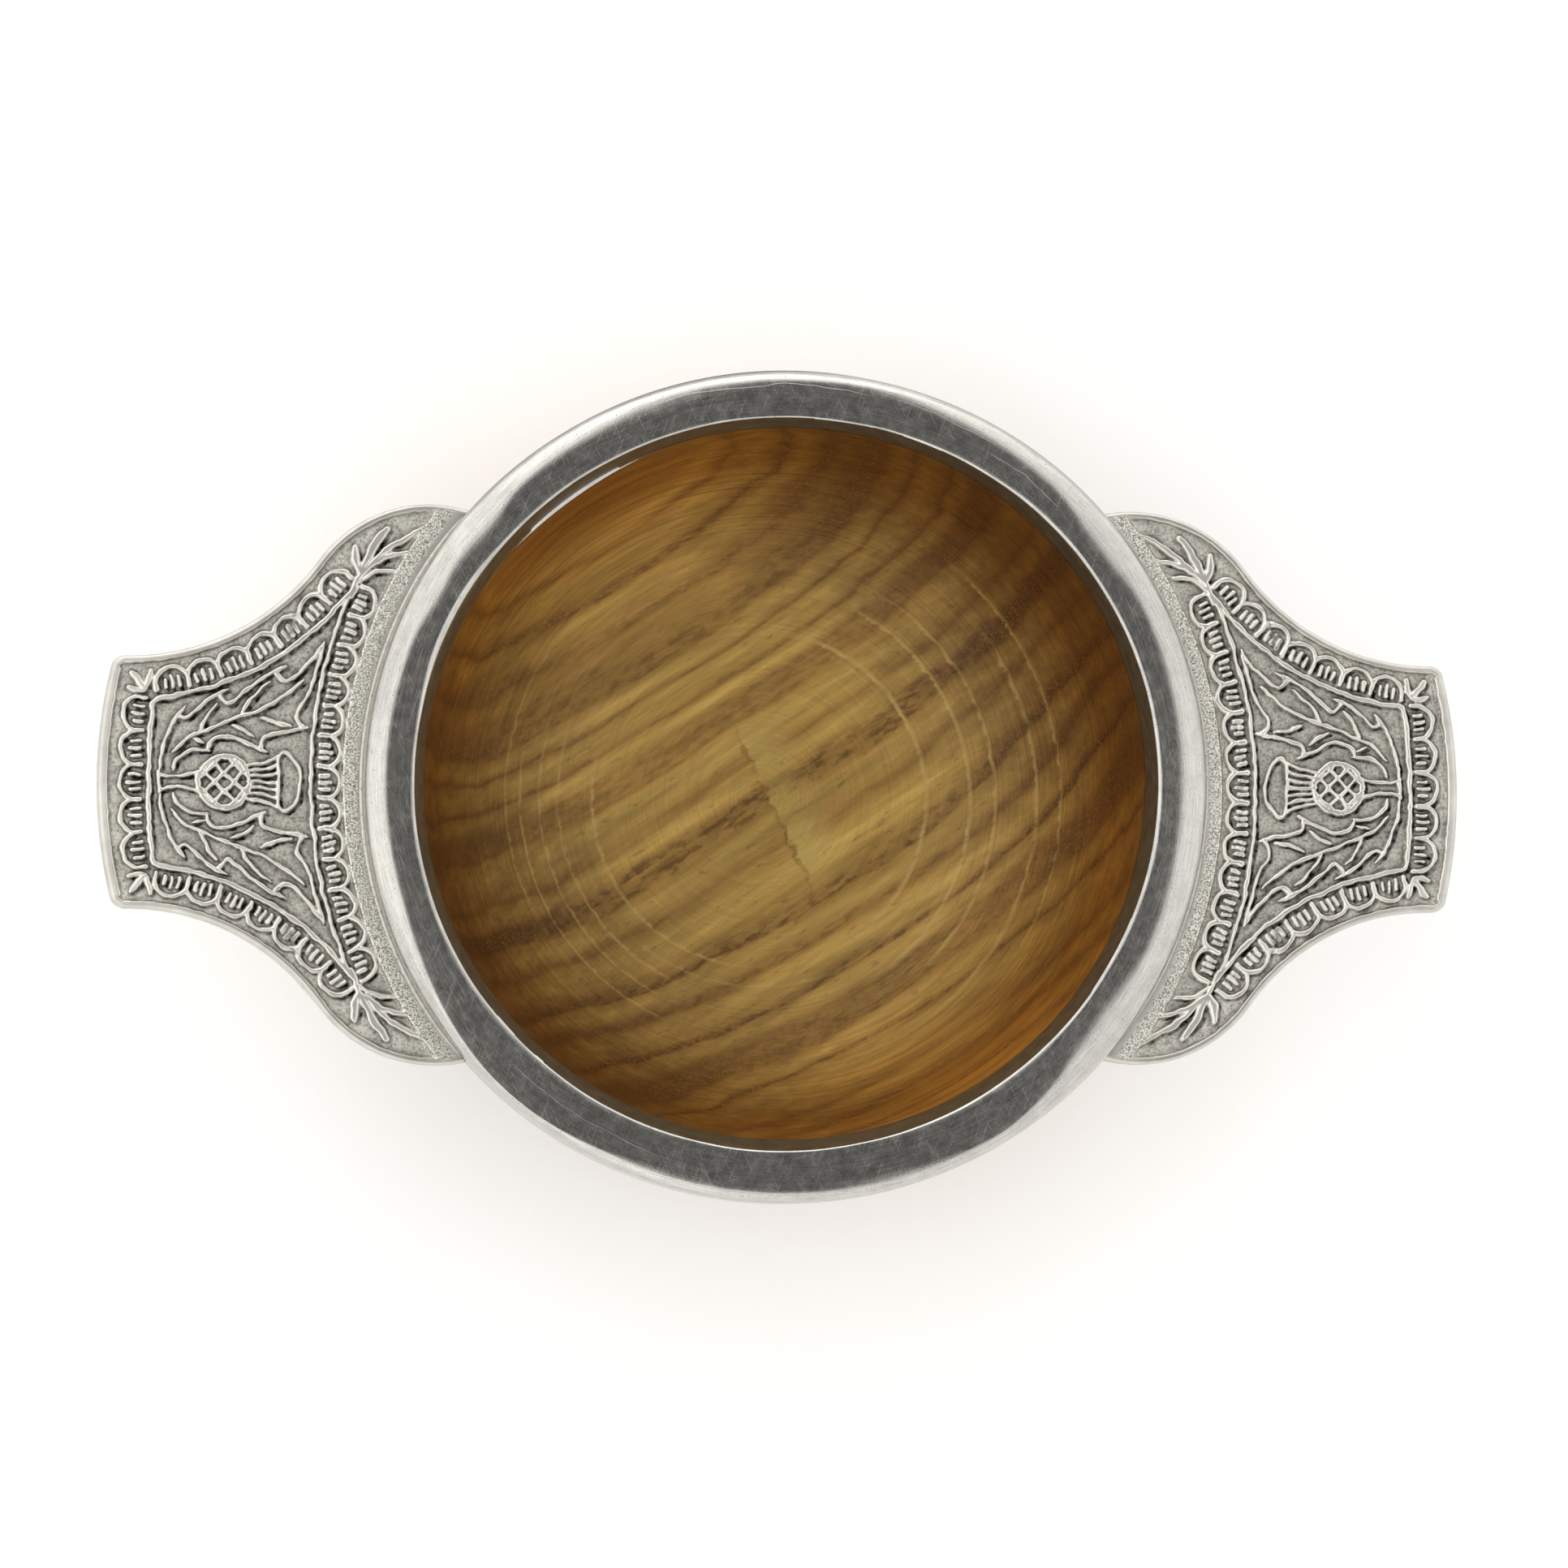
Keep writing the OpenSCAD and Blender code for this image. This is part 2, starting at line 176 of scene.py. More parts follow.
def makeOak():
    material, add = newMaterial("oakTurnedOiled")
    sized = add("VectorMath.SCALE", add("TexCoord", out="Object"), 1 / mm)
    grainTurn = radians(oakSet["grainTurn"])
    wood = add("Mapping", {"Vector": sized, "Rotation": (0, 0, -grainTurn)})
    axes = add("SeparateXYZ", wood).node.outputs
    facing = add("NewGeometry", out="Normal")
    upward = add("SeparateXYZ", facing, out="Z")
    level = add("VectorMath.MULTIPLY", add("VectorMath.SUBTRACT", sized, (*oakSet["axis"], 0)), (1, 1, 0))
    radius = add("VectorMath.LENGTH", level)
    bearing = add("VectorMath.NORMALIZE", level)
    steep = add("MapRange", upward, 0.99, 0.4)
    outFacing = add("VectorMath.DOT_PRODUCT", facing, bearing)
    inside = add("MapRange", add("SUBTRACT", upward, outFacing), 0.0, 0.3)  # floor and inner wall only
    endOn = add("ABSOLUTE", add("VectorMath.DOT_PRODUCT", facing, (cos(grainTurn), sin(grainTurn), 0)))
    # growth rings, slanting through the blank
    across = add("SUBTRACT", axes[1], oakSet["pith"][0])
    above = add("SUBTRACT", axes[2], oakSet["pith"][1])
    section = add("CombineXYZ", across, above)
    fromPith = add("VectorMath.LENGTH", section)
    for along, over, height in ((0.005, 0.03, 9.0), (0.03, 0.14, 2.6), (0.11, 0.42, 1.1)):
        sway = stretchedNoise(add, wood, (along, over, over), 1.0)
        fromPith = add("MULTIPLY_ADD", sway, height, fromPith)
    lean = add("TexNoise", fromPith, 0.11, 1.0, noise_dimensions="1D")
    fromPith = add("MULTIPLY_ADD", lean, 9.0, fromPith)  # lean and fat years
    years = add("DIVIDE", fromPith, oakSet["ringPitch"])
    season = add("FRACT", years)
    whichYear = add("FLOOR", add("ADD", years, 0.35))
    growth = add("MapRange", add("TexWhiteNoise", whichYear, noise_dimensions="1D"), 0.0, 1.0, 0.15, 1.0)
    tone = setRamp(add, season, [
        (0.0, "#a07c3e"), (0.1, "#a58043"), (0.3, "#b3904a"), (0.55, "#bf9d54"), (0.85, "#b28e49"), (1.0, "#a07c3e")])
    streaks = stretchedNoise(add, wood, (0.05, 0.6, 0.6), 5.0, 0.68)
    shade = add("MapRange", streaks, 0.25, 0.75, 0.66, 1.36)
    tone = add("Mix.RGBA", 1.0, tone, shade, blend_type="MULTIPLY")
    broad = stretchedNoise(add, wood, (0.02, 0.11, 0.11), 2.0)
    broad = add("MapRange", broad, 0.3, 0.7, 0.8, 1.22)
    tone = add("Mix.RGBA", 1.0, tone, broad, blend_type="MULTIPLY")
    # spring pores: dark dashes on the floor, paler and shorter up the walls
    springIn = add("MapRange", season, 0.24, 0.08)
    springOut = add("MapRange", season, 0.92, 0.99)
    spring = add("MULTIPLY", add("MAXIMUM", springIn, springOut), growth)
    onFloor = add("SUBTRACT", 1.0, steep)
    band = add("MULTIPLY", spring, add("MapRange", endOn, 0.15, 0.8, 0.18, 0.75))
    tone = add("Mix.RGBA", band, tone, "#5a3a14")
    poreTurns = 1 / oakSet["poreWidth"] / 2
    pores = stretchedNoise(add, wood, (1 / oakSet["poreLength"], poreTurns, poreTurns), 3.0, 0.6)
    hollow = add("MapRange", pores, 0.46, 0.62)
    stray = add("MapRange", pores, 0.62, 0.7, 0.0, 0.45)
    hollow = add("MAXIMUM", add("MULTIPLY", hollow, spring), stray)
    poreShare = add("MULTIPLY", add("MULTIPLY", hollow, onFloor), 0.72)
    tone = add("Mix.RGBA", poreShare, tone, "#46290c")
    stitchLength, stitchWidth = oakSet["stitch"]
    stitch = stretchedNoise(add, wood, (1 / stitchLength, 1 / stitchWidth, 1 / stitchWidth), 2.0)
    stitch = add("MULTIPLY", add("MapRange", stitch, 0.52, 0.62, 0.0, 0.75), spring)
    for share in (steep, inside):
        stitch = add("MULTIPLY", stitch, share)
    tone = add("Mix.RGBA", stitch, tone, "#d9b271")
    # ray fleck: a ragged crack across the grain, pale wood fading away from one side of it
    fleckX, fleckLean, fleckY, fleckL = oakSet["fleck"]
    side = add("SUBTRACT", add("MULTIPLY_ADD", axes[1], -fleckLean, axes[0]), fleckX)
    torn = add("SUBTRACT", add("TexNoise", wood, 0.7, 3.0), 0.5)
    side = add("MULTIPLY_ADD", torn, 2.4, side)
    along = add("MapRange", add("ABSOLUTE", add("SUBTRACT", axes[1], fleckY)), fleckL, fleckL * 0.75)
    patch = stretchedNoise(add, wood, (0.05, 0.22, 0.22), 3.0)
    patch = add("MapRange", patch, 0.42, 0.58, 0.15, 0.62)
    rise = add("MapRange", side, 0.0, 0.6)
    fall = add("MapRange", side, 7.0, 2.5)
    along = add("MULTIPLY", along, inside)
    fleck = rise
    for share in (fall, along, patch):
        fleck = add("MULTIPLY", fleck, share)
    tone = add("Mix.RGBA", fleck, tone, "#cdb468")
    crack = add("MapRange", add("ABSOLUTE", side), 0.42, 0.08, 0.0, 0.7)
    for share in (along, patch):
        crack = add("MULTIPLY", crack, share)
    tone = add("Mix.RGBA", crack, tone, "#55350f")
    # painted shade darkens the steep walls; end grain holds more oil and is darker still
    tone = add("Mix.RGBA", steep, tone, "#c9a57c", blend_type="MULTIPLY")
    soaked = add("MapRange", endOn, 0.1, 0.95, 0.0, 0.72)
    tone = add("Mix.RGBA", soaked, tone, "#3e2108")
    # lines left by the turning tool
    climb = add("ADD", radius, axes[2])
    spun = add("VectorMath.MULTIPLY", bearing, (1.1, 1.1, 0))
    spun = add("VectorMath.ADD", spun, add("CombineXYZ", {2: climb}))
    turning = stretchedNoise(add, spun, (1, 1, 2.2), 4.0, 0.8)
    fine = add("MapRange", turning, 0.3, 0.7, 0.66, 1.3)
    ploughed = add("MapRange", steep, 0.0, 0.6, 0.4, 1.0)
    tone = add("Mix.RGBA", ploughed, tone, fine, blend_type="MULTIPLY")
    worn = add("MULTIPLY", add("MapRange", streaks, 0.35, 0.6, 0.3, 1.2), inside)
    shaken = add("SUBTRACT", add("MULTIPLY_ADD", streaks, 1.2, radius), 0.6)
    lines = [(shaken, "#cbab66", line) for line in oakSet["turnedLines"]]
    lines += [(climb, "#2a1708", line) for line in oakSet["scoredLines"]]
    for way, code, line in lines:
        mark = add("MULTIPLY", arcMark(add, way, bearing, *line), worn)
        tone = add("Mix.RGBA", mark, tone, code)
    # painted shade in the seam under the rim
    seam = add("MapRange", axes[2], *oakSet["seam"], 0.0, 0.8)
    tone = add("Mix.RGBA", seam, tone, "#24150a")
    relief = add("MULTIPLY_ADD", hollow, -0.8, turning)
    bump = add("Bump", {"Strength": 0.3, "Distance": 0.00008, "Height": relief})
    gloss = add("MapRange", streaks, 0.3, 0.7, 0.58, 0.46)
    closeMaterial(add, {"Base Color": tone, "Roughness": gloss, "Specular IOR Level": 0.22, "Normal": bump})
    return material


# pewter, turned and burnished: a soft dark mirror, hazed by fine rings and stray scratches
rimFinish = {"hairTurns": (0.4, 1.2, 2.0, 2.7), "hairLength": 5.0, "hairPitch": 0.09, "ringPitch": 0.2, "grain": 5.0,
             "paintedFarReflection": (44.2, 0.75, 0.85, 90, 54),
             "scratches": [(52.3, 0.06, 0.8, 97, 20), (52.2, 0.05, 0.7, 66, 8),
                           (50.9, 0.05, 0.6, 52, 7), (51.6, 0.04, 0.5, 238, 14)]}


def makeRimPewter():
    material, add = newMaterial("pewterTurnedBurnished")
    sized = add("VectorMath.SCALE", add("TexCoord", out="Object"), 1 / mm)
    axes = add("SeparateXYZ", sized).node.outputs
    level = add("CombineXYZ", axes[0], axes[1])
    radius = add("VectorMath.LENGTH", level)
    outward = add("VectorMath.NORMALIZE", level)
    spun = add("VectorMath.SCALE", outward, 12.0)
    deep = add("MULTIPLY", add("SUBTRACT", radius, axes[2]), 1 / rimFinish["ringPitch"])
    spun = add("VectorMath.ADD", spun, add("CombineXYZ", {2: deep}))
    rings = add("TexNoise", spun, 1.0, 3.0, 0.7)
    hairs = None
    for turn in rimFinish["hairTurns"]:
        spread = (rimFinish["hairLength"], rimFinish["hairPitch"], 5.0)
        combed = add("Mapping", {"Vector": sized, "Rotation": (0, 0, turn), "Scale": spread}, vector_type="TEXTURE")
        hair = add("TexNoise", {"Vector": combed, "Scale": 1.0, "Detail": 1.0, "Distortion": 0.3})
        hair = add("MapRange", hair, 0.66, 0.78)
        hairs = hair if hairs is None else add("MAXIMUM", hairs, hair)
    cloudy = add("TexNoise", sized, 0.5, 4.0, 0.65)
    grain = add("TexNoise", sized, rimFinish["grain"], 2.0)
    height = add("MULTIPLY_ADD", rings, 0.6, add("MULTIPLY_ADD", hairs, -0.6, grain))
    bump = add("Bump", {"Strength": 0.14, "Distance": 0.00003, "Height": height})
    gloss = add("MULTIPLY_ADD", hairs, 0.05, add("MapRange", cloudy, 0.3, 0.7, 0.17, 0.23))
    strayed = add("TexNoise", sized, 0.12, 2.0)
    strayed = add("SUBTRACT", add("MULTIPLY_ADD", strayed, 2.0, radius), 1.0)
    for scratch in rimFinish["scratches"]:
        mark = arcMark(add, strayed, outward, *scratch)
        gloss = add("MULTIPLY_ADD", mark, 0.4, gloss)
    tone = setRamp(add, cloudy, [(0.3, "#b9b7b2"), (0.7, "#c6c4be")])
    pits = add("MapRange", add("TexNoise", sized, 5.5, 1.0), 0.27, 0.33, 0.45, 1.0)
    tone = add("Mix.RGBA", 1.0, tone, pits, blend_type="MULTIPLY")
    brushed = add("MapRange", rings, 0.3, 0.7, 0.82, 1.18)
    tone = add("Mix.RGBA", 1.0, tone, brushed, blend_type="MULTIPLY")
    # a dark band on the far side of the shoulder: a painted reflection of a dark floor beyond it
    paintedFarReflection = arcMark(add, axes[2], outward, *rimFinish["paintedFarReflection"])
    tone = add("Mix.RGBA", paintedFarReflection, tone, "#3f362c")
    # the inner wall is left dull, and given a darker grey
    inside = add("VectorMath.DOT_PRODUCT", outward, add("NewGeometry", out="Normal"))
    dull = add("MapRange", inside, -0.8, -0.95)
    innerWallGrey = setRamp(add, cloudy, [(0.36, "#6c6d71"), (0.52, "#7b7c7f"), (0.68, "#88898c")])
    tone = add("Mix.RGBA", dull, tone, innerWallGrey)
    gloss = add("MULTIPLY_ADD", dull, 0.2, gloss)
    closeMaterial(add, {"Base Color": tone, "Metallic": 1.0, "Roughness": gloss, "Normal": bump})
    return material


# cast pewter, darkened in the hollows and rubbed bright on the raised lines, with a painted shadow beside each line
# and painted shade on the rolled outer edge
lugFinish = {"grit": 2.7, "blotch": 0.4, "patch": 0.9, "sand": 4.6,  # how many to the mm
             "ragged": 0.35, "rubbed": (-0.11, 0.03), "foot": 0.17, "halo": (-0.75, -0.18),  # mm from a line's edge
             "inField": (4.4, 5.8), "cleaner": (1.8, 3.2), "paintedEdgeShade": (0.2, 1.7),  # mm from the outer edge
             "strip": (58.2, 58.9), "black": (0.36, 0.5), "gritty": 0.8}


def makeLugPewter():
    material, add = newMaterial("pewterCastAntiqued")
    sized = add("VectorMath.SCALE", add("TexCoord", out="Object"), 1 / mm)
    # mm inside a raised line, mm from the outer edge, share of sand, mm inside a line moved towards the light, which
    # marks its painted shadow
    lift, edgeGap, sandy, black = (
        add("Attribute", attribute_name=name, out="Fac") for name in ("lift", "edgeGap", "sandy", "black"))
    grit = add("TexNoise", sized, lugFinish["grit"], 5.0, 0.75)
    blotch = add("TexNoise", sized, lugFinish["blotch"], 3.0)
    patchy = add("TexNoise", sized, lugFinish["patch"], 2.0)
    ragged = add("MULTIPLY_ADD", add("SUBTRACT", grit, 0.5), lugFinish["ragged"], lift)
    raised = add("MapRange.SMOOTHSTEP", ragged, *lugFinish["rubbed"])
    inField = add("MapRange", edgeGap, *lugFinish["inField"])
    # ground: grainy, paler in the outer rows than inside the frame
    ground = add("Mix.RGBA", inField, "#d6d3ca", "#c0bdb4")
    uneven = add("MapRange", blotch, 0.3, 0.7, 0.78, 1.2)
    ground = add("Mix.RGBA", 1.0, ground, uneven, blend_type="MULTIPLY")
    speck = add("MapRange", grit, 0.36, 0.54, 0.68, 0.0)
    ground = add("Mix.RGBA", speck, ground, "#403e38")
    glint = add("MapRange", grit, 0.54, 0.66, 0.0, 0.4)
    ground = add("Mix.RGBA", glint, ground, "#d6d3ca")
    # black left along the foot of the lines, in places
    line = add("MapRange", add("ABSOLUTE", add("ADD", ragged, lugFinish["foot"])), 0.22, 0.1, 0.0, 0.35)
    kept = add("MapRange", patchy, 0.36, 0.6, 0.35, 1.0)
    kept = add("MULTIPLY", kept, add("MapRange", edgeGap, *lugFinish["cleaner"], 0.55, 1.0))
    fromAxis = add("VectorMath.LENGTH", add("VectorMath.MULTIPLY", sized, (1, 1, 0)))
    offBand = add("MapRange", fromAxis, *lugFinish["strip"])
    kept = add("MULTIPLY", kept, offBand)
    line = add("MULTIPLY", line, kept)
    halo = add("MULTIPLY", add("MapRange", ragged, *lugFinish["halo"], 0.0, 0.5), kept)
    ground = add("Mix.RGBA", line, add("Mix.RGBA", halo, ground, "#3d3b35"), "#12110e")
    # painted shadow: black on the side of each line away from the light, in places
    black = add("MapRange", add("MULTIPLY_ADD", grit, lugFinish["gritty"], black), *lugFinish["black"])
    black = add("MULTIPLY", black, kept)
    ground = add("Mix.RGBA", black, ground, "#12110e")
    bright = setRamp(add, blotch, [(0.3, "#d3d0c8"), (0.7, "#e8e5dd")])
    # painted shade: the rolled border bead darkens towards the outer edge
    paintedEdgeShade = add("MapRange", edgeGap, *lugFinish["paintedEdgeShade"], 0.76, 1.0)
    bright = add("Mix.RGBA", 1.0, bright, paintedEdgeShade, blend_type="MULTIPLY")
    tone = add("Mix.RGBA", raised, ground, bright)
    sand = add("TexNoise", sized, lugFinish["sand"], 3.0, 0.7)
    grains = setRamp(add, sand, [(0.42, "#98958c"), (0.5, "#c9c6bd"), (0.58, "#fbf8f0")])
    tone = add("Mix.RGBA", sandy, tone, grains)
    pits = add("MULTIPLY", add("MapRange", sand, 0.34, 0.41, 0.85, 0.0), sandy)
    tone = add("Mix.RGBA", pits, tone, "#4a4842")
    rough = add("MULTIPLY_ADD", sandy, 0.04, add("MapRange", raised, 0.0, 1.0, 0.46, 0.34))
    soft = add("MULTIPLY_ADD", sandy, 0.6, add("MapRange", raised, 0.0, 1.0, 0.7, 0.1))
    bump = add("Bump", {"Strength": soft, "Distance": 0.00008, "Height": grit})
    closeMaterial(add, {"Base Color": tone, "Metallic": 1.0, "Roughness": rough, "Normal": bump})
    return material


# soft solder, dressed back: a soft grey sheen with a few pits where it froze
def makeSolder():
    material, add = newMaterial("solderRunDressed")
    grain, tone = grainyTone(add, 1800.0, [(0.26, "#5d5b56"), (0.36, "#b3b1ab"), (0.7, "#c6c4bd")])
    bump = add("Bump", {"Strength": 0.25, "Distance": 0.00004, "Height": grain})
    closeMaterial(add, {"Base Color": tone, "Metallic": 1.0, "Roughness": 0.3, "Normal": bump})
    return material


# cement bed: matt and grainy, hidden under the rim
def makeCement():
    material, add = newMaterial("cementSet")
    tone = grainyTone(add, 2500.0, [(0.35, "#7d6f52"), (0.65, "#a3946f")])[1]
    closeMaterial(add, {"Base Color": tone, "Roughness": 0.85})
    return material


oak, rimPewter, lugPewter, solder, cement = (
    makeOak(), makeRimPewter(), makeLugPewter(), makeSolder(), makeCement())
print("materials made")


def arcPoints(centre, radius, start, end, count):
    angles = [radians(start + (end - start) * i / count) for i in range(count + 1)]
    return [(centre[0] + radius * cos(a), centre[1] + radius * sin(a)) for a in angles]


def eased(corners, steps=4):
    # rounds each corner of a closed profile by its own radius
    points = []
    for i, (x, y, radius) in enumerate(corners):
        here = Vector((x, y))
        if not radius:
            points.append((x, y))
            continue
        before = Vector(corners[i - 1][:2])
        after = Vector(corners[(i + 1) % len(corners)][:2])
        start = here + (before - here).normalized() * radius
        end = here + (after - here).normalized() * radius
        for k in range(steps + 1):
            t = k / steps
            point = start * (1 - t) ** 2 + here * 2 * t * (1 - t) + end * t * t
            points.append((point.x, point.y))
    return points


driedSet = {"turn": 16.5, "lip": 0.56, "lipR": 48, "outside": 0.53, "band": 7, "offset": (0.42, 0.69)}


def dried(radius, angle):
    # oak dries narrower across its grain, and the rim follows its lip
    share = driedSet["lip"] * min(radius / driedSet["lipR"], 1)
    share -= (driedSet["lip"] - driedSet["outside"]) * max(radius - driedSet["lipR"], 0) / driedSet["band"]
    return radius + share * cos(2 * (angle - radians(driedSet["turn"])))


def offCentre(angle):
    # the wood sits a little off the middle of the rim
    return driedSet["offset"][0] * cos(angle) + driedSet["offset"][1] * sin(angle)


def latheMesh(name, profile, segments, closed, wander=None):
    points, faces, rows = [], [], []
    for k, (radius, height) in enumerate(profile):
        if radius < 1e-6:
            rows.append([len(points)] * segments)
            points.append((0, 0, height))
            continue
        rows.append(range(len(points), len(points) + segments))
        for j in range(segments):
            angle = 2 * pi * j / segments
            r, z = (radius, height) if wander is None else wander(k, radius, height, angle)
            r = dried(r, angle)
            points.append((r * cos(angle), r * sin(angle), z))
    pairs = list(zip(rows, rows[1:])) + ([(rows[-1], rows[0])] if closed else [])
    for low, high in pairs:
        for j in range(segments):
            ring = [low[j], low[j - 1], high[j - 1], high[j]]
            faces.append(list(dict.fromkeys(ring)))
    return makeMesh(name, points, faces)


# bowl: one oak blank, turned with a foot and a tongue under the rim
bowlSet = {"segments": 288, "footR": 27.5, "footRing": 8.0, "footHollow": 1.5, "footHeight": 4.0, "outR": 54.8,
           "seat": 39.0, "tongue": (50.1, 53.3, 43.4), "lipR": 47.3, "floor": 8.5, "floorRound": 30.0}
footR, footH, bowlOut, bowlSeat, floorZ, floorRound = (
    bowlSet[key] for key in ("footR", "footHeight", "outR", "seat", "floor", "floorRound"))
bodyRise = bowlSeat - footH
bodyRun = bowlOut - footR
bodyR = (bodyRun ** 2 + bodyRise ** 2) / 2 / bodyRun
bodyStart = -degrees(asin(bodyRise / bodyR))
footCorners = [(0, bowlSet["footHollow"], 0), (footR - bowlSet["footRing"], bowlSet["footHollow"], 0.6),
               (footR - bowlSet["footRing"], 0, 0.5), (footR, 0, 0.8), (footR, footH, 0)]
bowlProfile = eased(footCorners)[:-1]
bowlProfile += arcPoints((bowlOut - bodyR, bowlSeat), bodyR, bodyStart, 0, 48)
tongueIn, tongueOut, tongueTop = bowlSet["tongue"]
bowlProfile += [(tongueOut, bowlSeat), (tongueOut, tongueTop), (tongueIn, tongueTop), (tongueIn, bowlSeat)]
floorCentre = (bowlSet["lipR"] - floorRound, floorZ + floorRound)
lipAngle = degrees(asin((bowlSeat - floorCentre[1]) / floorRound))
bowlProfile += arcPoints(floorCentre, floorRound, lipAngle, -90, 56)
bowlProfile += [(floorCentre[0] * k / 6, floorZ) for k in range(5, -1, -1)]
bowlMesh = latheMesh("oakBowl", bowlProfile, bowlSet["segments"], False)
bowlMesh.transform(Matrix.Translation((driedSet["offset"][0] * mm, driedSet["offset"][1] * mm, 0)))
bowl = finishPiece(bowlMesh, oak, 40)
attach(bowl, "root")
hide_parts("bowl")
print("bowl turned")

# rim: cast pewter ring, hand finished, its inner edge filed by eye
rimSet = {"segments": 480, "outR": 55.0, "inR": 48.2, "lipR": 47.3, "crown": 46.0, "seat": 39.0, "round": 3.2,
          "fall": 2.1, "bevel": 0.38, "slot": (49.9, 53.5, 43.6), "bevelWander": 0.1, "faceWander": 0.02,
          "farFiled": 0.3, "leanFrom": 0.7, "innerShift": (-0.2, 0.12),
          "filed": [  # a wider or narrower shoulder: middle and half of its arc in degrees, and by how much
              (0, 62, 1.15), (37, 11, 1.3), (324, 14, 1.5), (228, 36, -2.4), (300, 18, -1.6), (141, 9, 1.3),
              (152, 8, 0.9), (105, 28, 0.7)],
          "facet": (154, 20, 0.4), "lipShow": (126, 22, 0.4)}
rimOut, rimIn, rimLip, crown, seat, rimRound = (
    rimSet[key] for key in ("outR", "inR", "lipR", "crown", "seat", "round"))
slotIn, slotOut, slotTop = rimSet["slot"]
rimProfile = [(rimLip, seat + 0.1), (rimLip + 0.05, seat + 0.3)]
rimProfile += [(rimLip + (rimIn - rimLip) * k / 6, seat + (crown - rimSet["bevel"] - seat) * k / 6)
               for k in range(1, 7)]
bevelRow = len(rimProfile)
flatIn, crownEnd = rimIn + rimSet["bevel"], rimOut - rimRound
rimProfile += [(rimIn + 0.06, crown - 0.18), (rimIn + 0.25, crown - 0.05), (flatIn, crown)]
rimProfile += [(flatIn + (crownEnd - flatIn) * k / 6, crown) for k in range(1, 6)]
rimProfile += [(crownEnd + rimRound * x, crown + rimSet["fall"] * (y - 1))
               for x, y in arcPoints((0, 0), 1, 90, 0, 20)]
shoulderEnd = len(rimProfile) - 1
wallEnd = shoulderEnd + 3
rimProfile += [(rimOut, seat + 0.3), (rimOut - 0.1, seat + 0.1), (rimOut - 0.3, seat), (slotOut, seat),
               (slotOut, slotTop), (slotIn, slotTop), (slotIn, seat), (rimLip + 0.1, seat)]


def swell(angle, middle, half, size):
    # grows smoothly from nothing at both ends of an arc, in degrees, to its full size in the middle
    off = abs((degrees(angle) - middle + 180) % 360 - 180)
    return size * (1 + cos(pi * off / half)) / 2 if off < half else 0


def filedByEye(k, radius, height, angle):
    sway = (sin(3 * angle + 0.6) + sin(7 * angle + 2.1) * 0.7 + sin(13 * angle + 4.0) * 0.5
            + sin(29 * angle + 1.2) * 0.25)
    rise = (height - seat) / (crown - seat)
    cut = swell(angle, *rimSet["facet"])
    aside = rimSet["innerShift"][0] * cos(angle) + rimSet["innerShift"][1] * sin(angle)
    if k < bevelRow - 1 or k == len(rimProfile) - 1:
        radius += offCentre(angle) * (1 - rise) + aside * rise
        if k == 0:
            radius -= swell(angle, *rimSet["lipShow"])
    elif k <= bevelRow + 2:
        share = (k - bevelRow + 1) / 3
        radius += rimSet["bevelWander"] * sway * (0.25 if k == bevelRow - 1 else 0.6) + cut * share + aside
        height -= cut * 0.6 * (1 - share)
    elif k < shoulderEnd:
        inner = flatIn + rimSet["bevelWander"] * sway * 0.6 + cut + aside
        wide = rimRound + sum(swell(angle, *mark) for mark in rimSet["filed"])
        outer = rimOut - wide
        if radius < crownEnd:
            radius = inner + (radius - flatIn) * (outer - inner) / (crownEnd - flatIn)
        else:
            radius = rimOut - (rimOut - radius) * wide / rimRound
            radius -= rimSet["farFiled"] * max(sin(angle), 0) ** 4 * (radius - outer) / wide
        height += rimSet["faceWander"] * sin(5 * angle + k * 0.25) * sin(2 * angle + 1.0)
    elif k < wallEnd:  # the wall leans in to meet the shoulder
        radius -= rimSet["farFiled"] * max(sin(angle), 0) ** 4 * min(rise / rimSet["leanFrom"], 1)
    return radius, height


rimMesh = latheMesh("pewterRim", rimProfile, rimSet["segments"], True, filedByEye)
rim = finishPiece(rimMesh, rimPewter, 50)
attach(rim, "root")
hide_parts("rim")
print("rim cast")

# lugs: one flat casting pattern, its drawing raised from a sunk ground and the whole arched down
lugSet = {"rimR": 55.0, "solder": 0.2, "length": 34.6, "width": 73.0, "tipWidth": 32.8, "tipR": 64.0,
          "waistR": 30.0, "drawnSize": (33.6, 72), "shoulderR": 18.5, "shoulderSet": 8.8, "thick": 3.0,
          "archR": 260.0, "archSlope": -3.0, "topZ": 42.6, "rows": 232, "columns": 384, "coarse": 8,
          "cornerR": 1.3, "underEase": 0.45, "rootFit": 0.12, "rootFade": 1 / 6}
drawingSet = {"border": 1.0, "tipBorder": 1.4, "band": 2.0, "frameIn": 5.65, "frameTip": 6.55, "frameTipR": 90.0,
              "frameRoot": 4.95, "frameLine": 0.36, "leafLine": 0.27, "latticeLine": 0.27, "crownLine": 0.22,
              "bulb": (72.75, 3.3, 0.4), "latticeStep": 1.75, "crownLines": 7, "scallopW": 4.0, "scallopH": 2.75,
              "scallopLine": 0.31, "barLine": 0.25, "scallopGap": 0.95, "paintedShadowShift": (-0.43, 0.37, 0)}
rimR, tipR, waistR, shoulderR, archR, lugThick = (
    lugSet[key] for key in ("rimR", "tipR", "waistR", "shoulderR", "archR", "thick"))
origin2 = Vector((0, 0))
reach = rimR + lugSet["length"]
archX = rimR - archR * sin(radians(lugSet["archSlope"]))
archZ = lugSet["topZ"] - archR * cos(radians(lugSet["archSlope"]))
rootR = rimR + lugSet["solder"]
tipC = Vector((reach - tipR, 0))
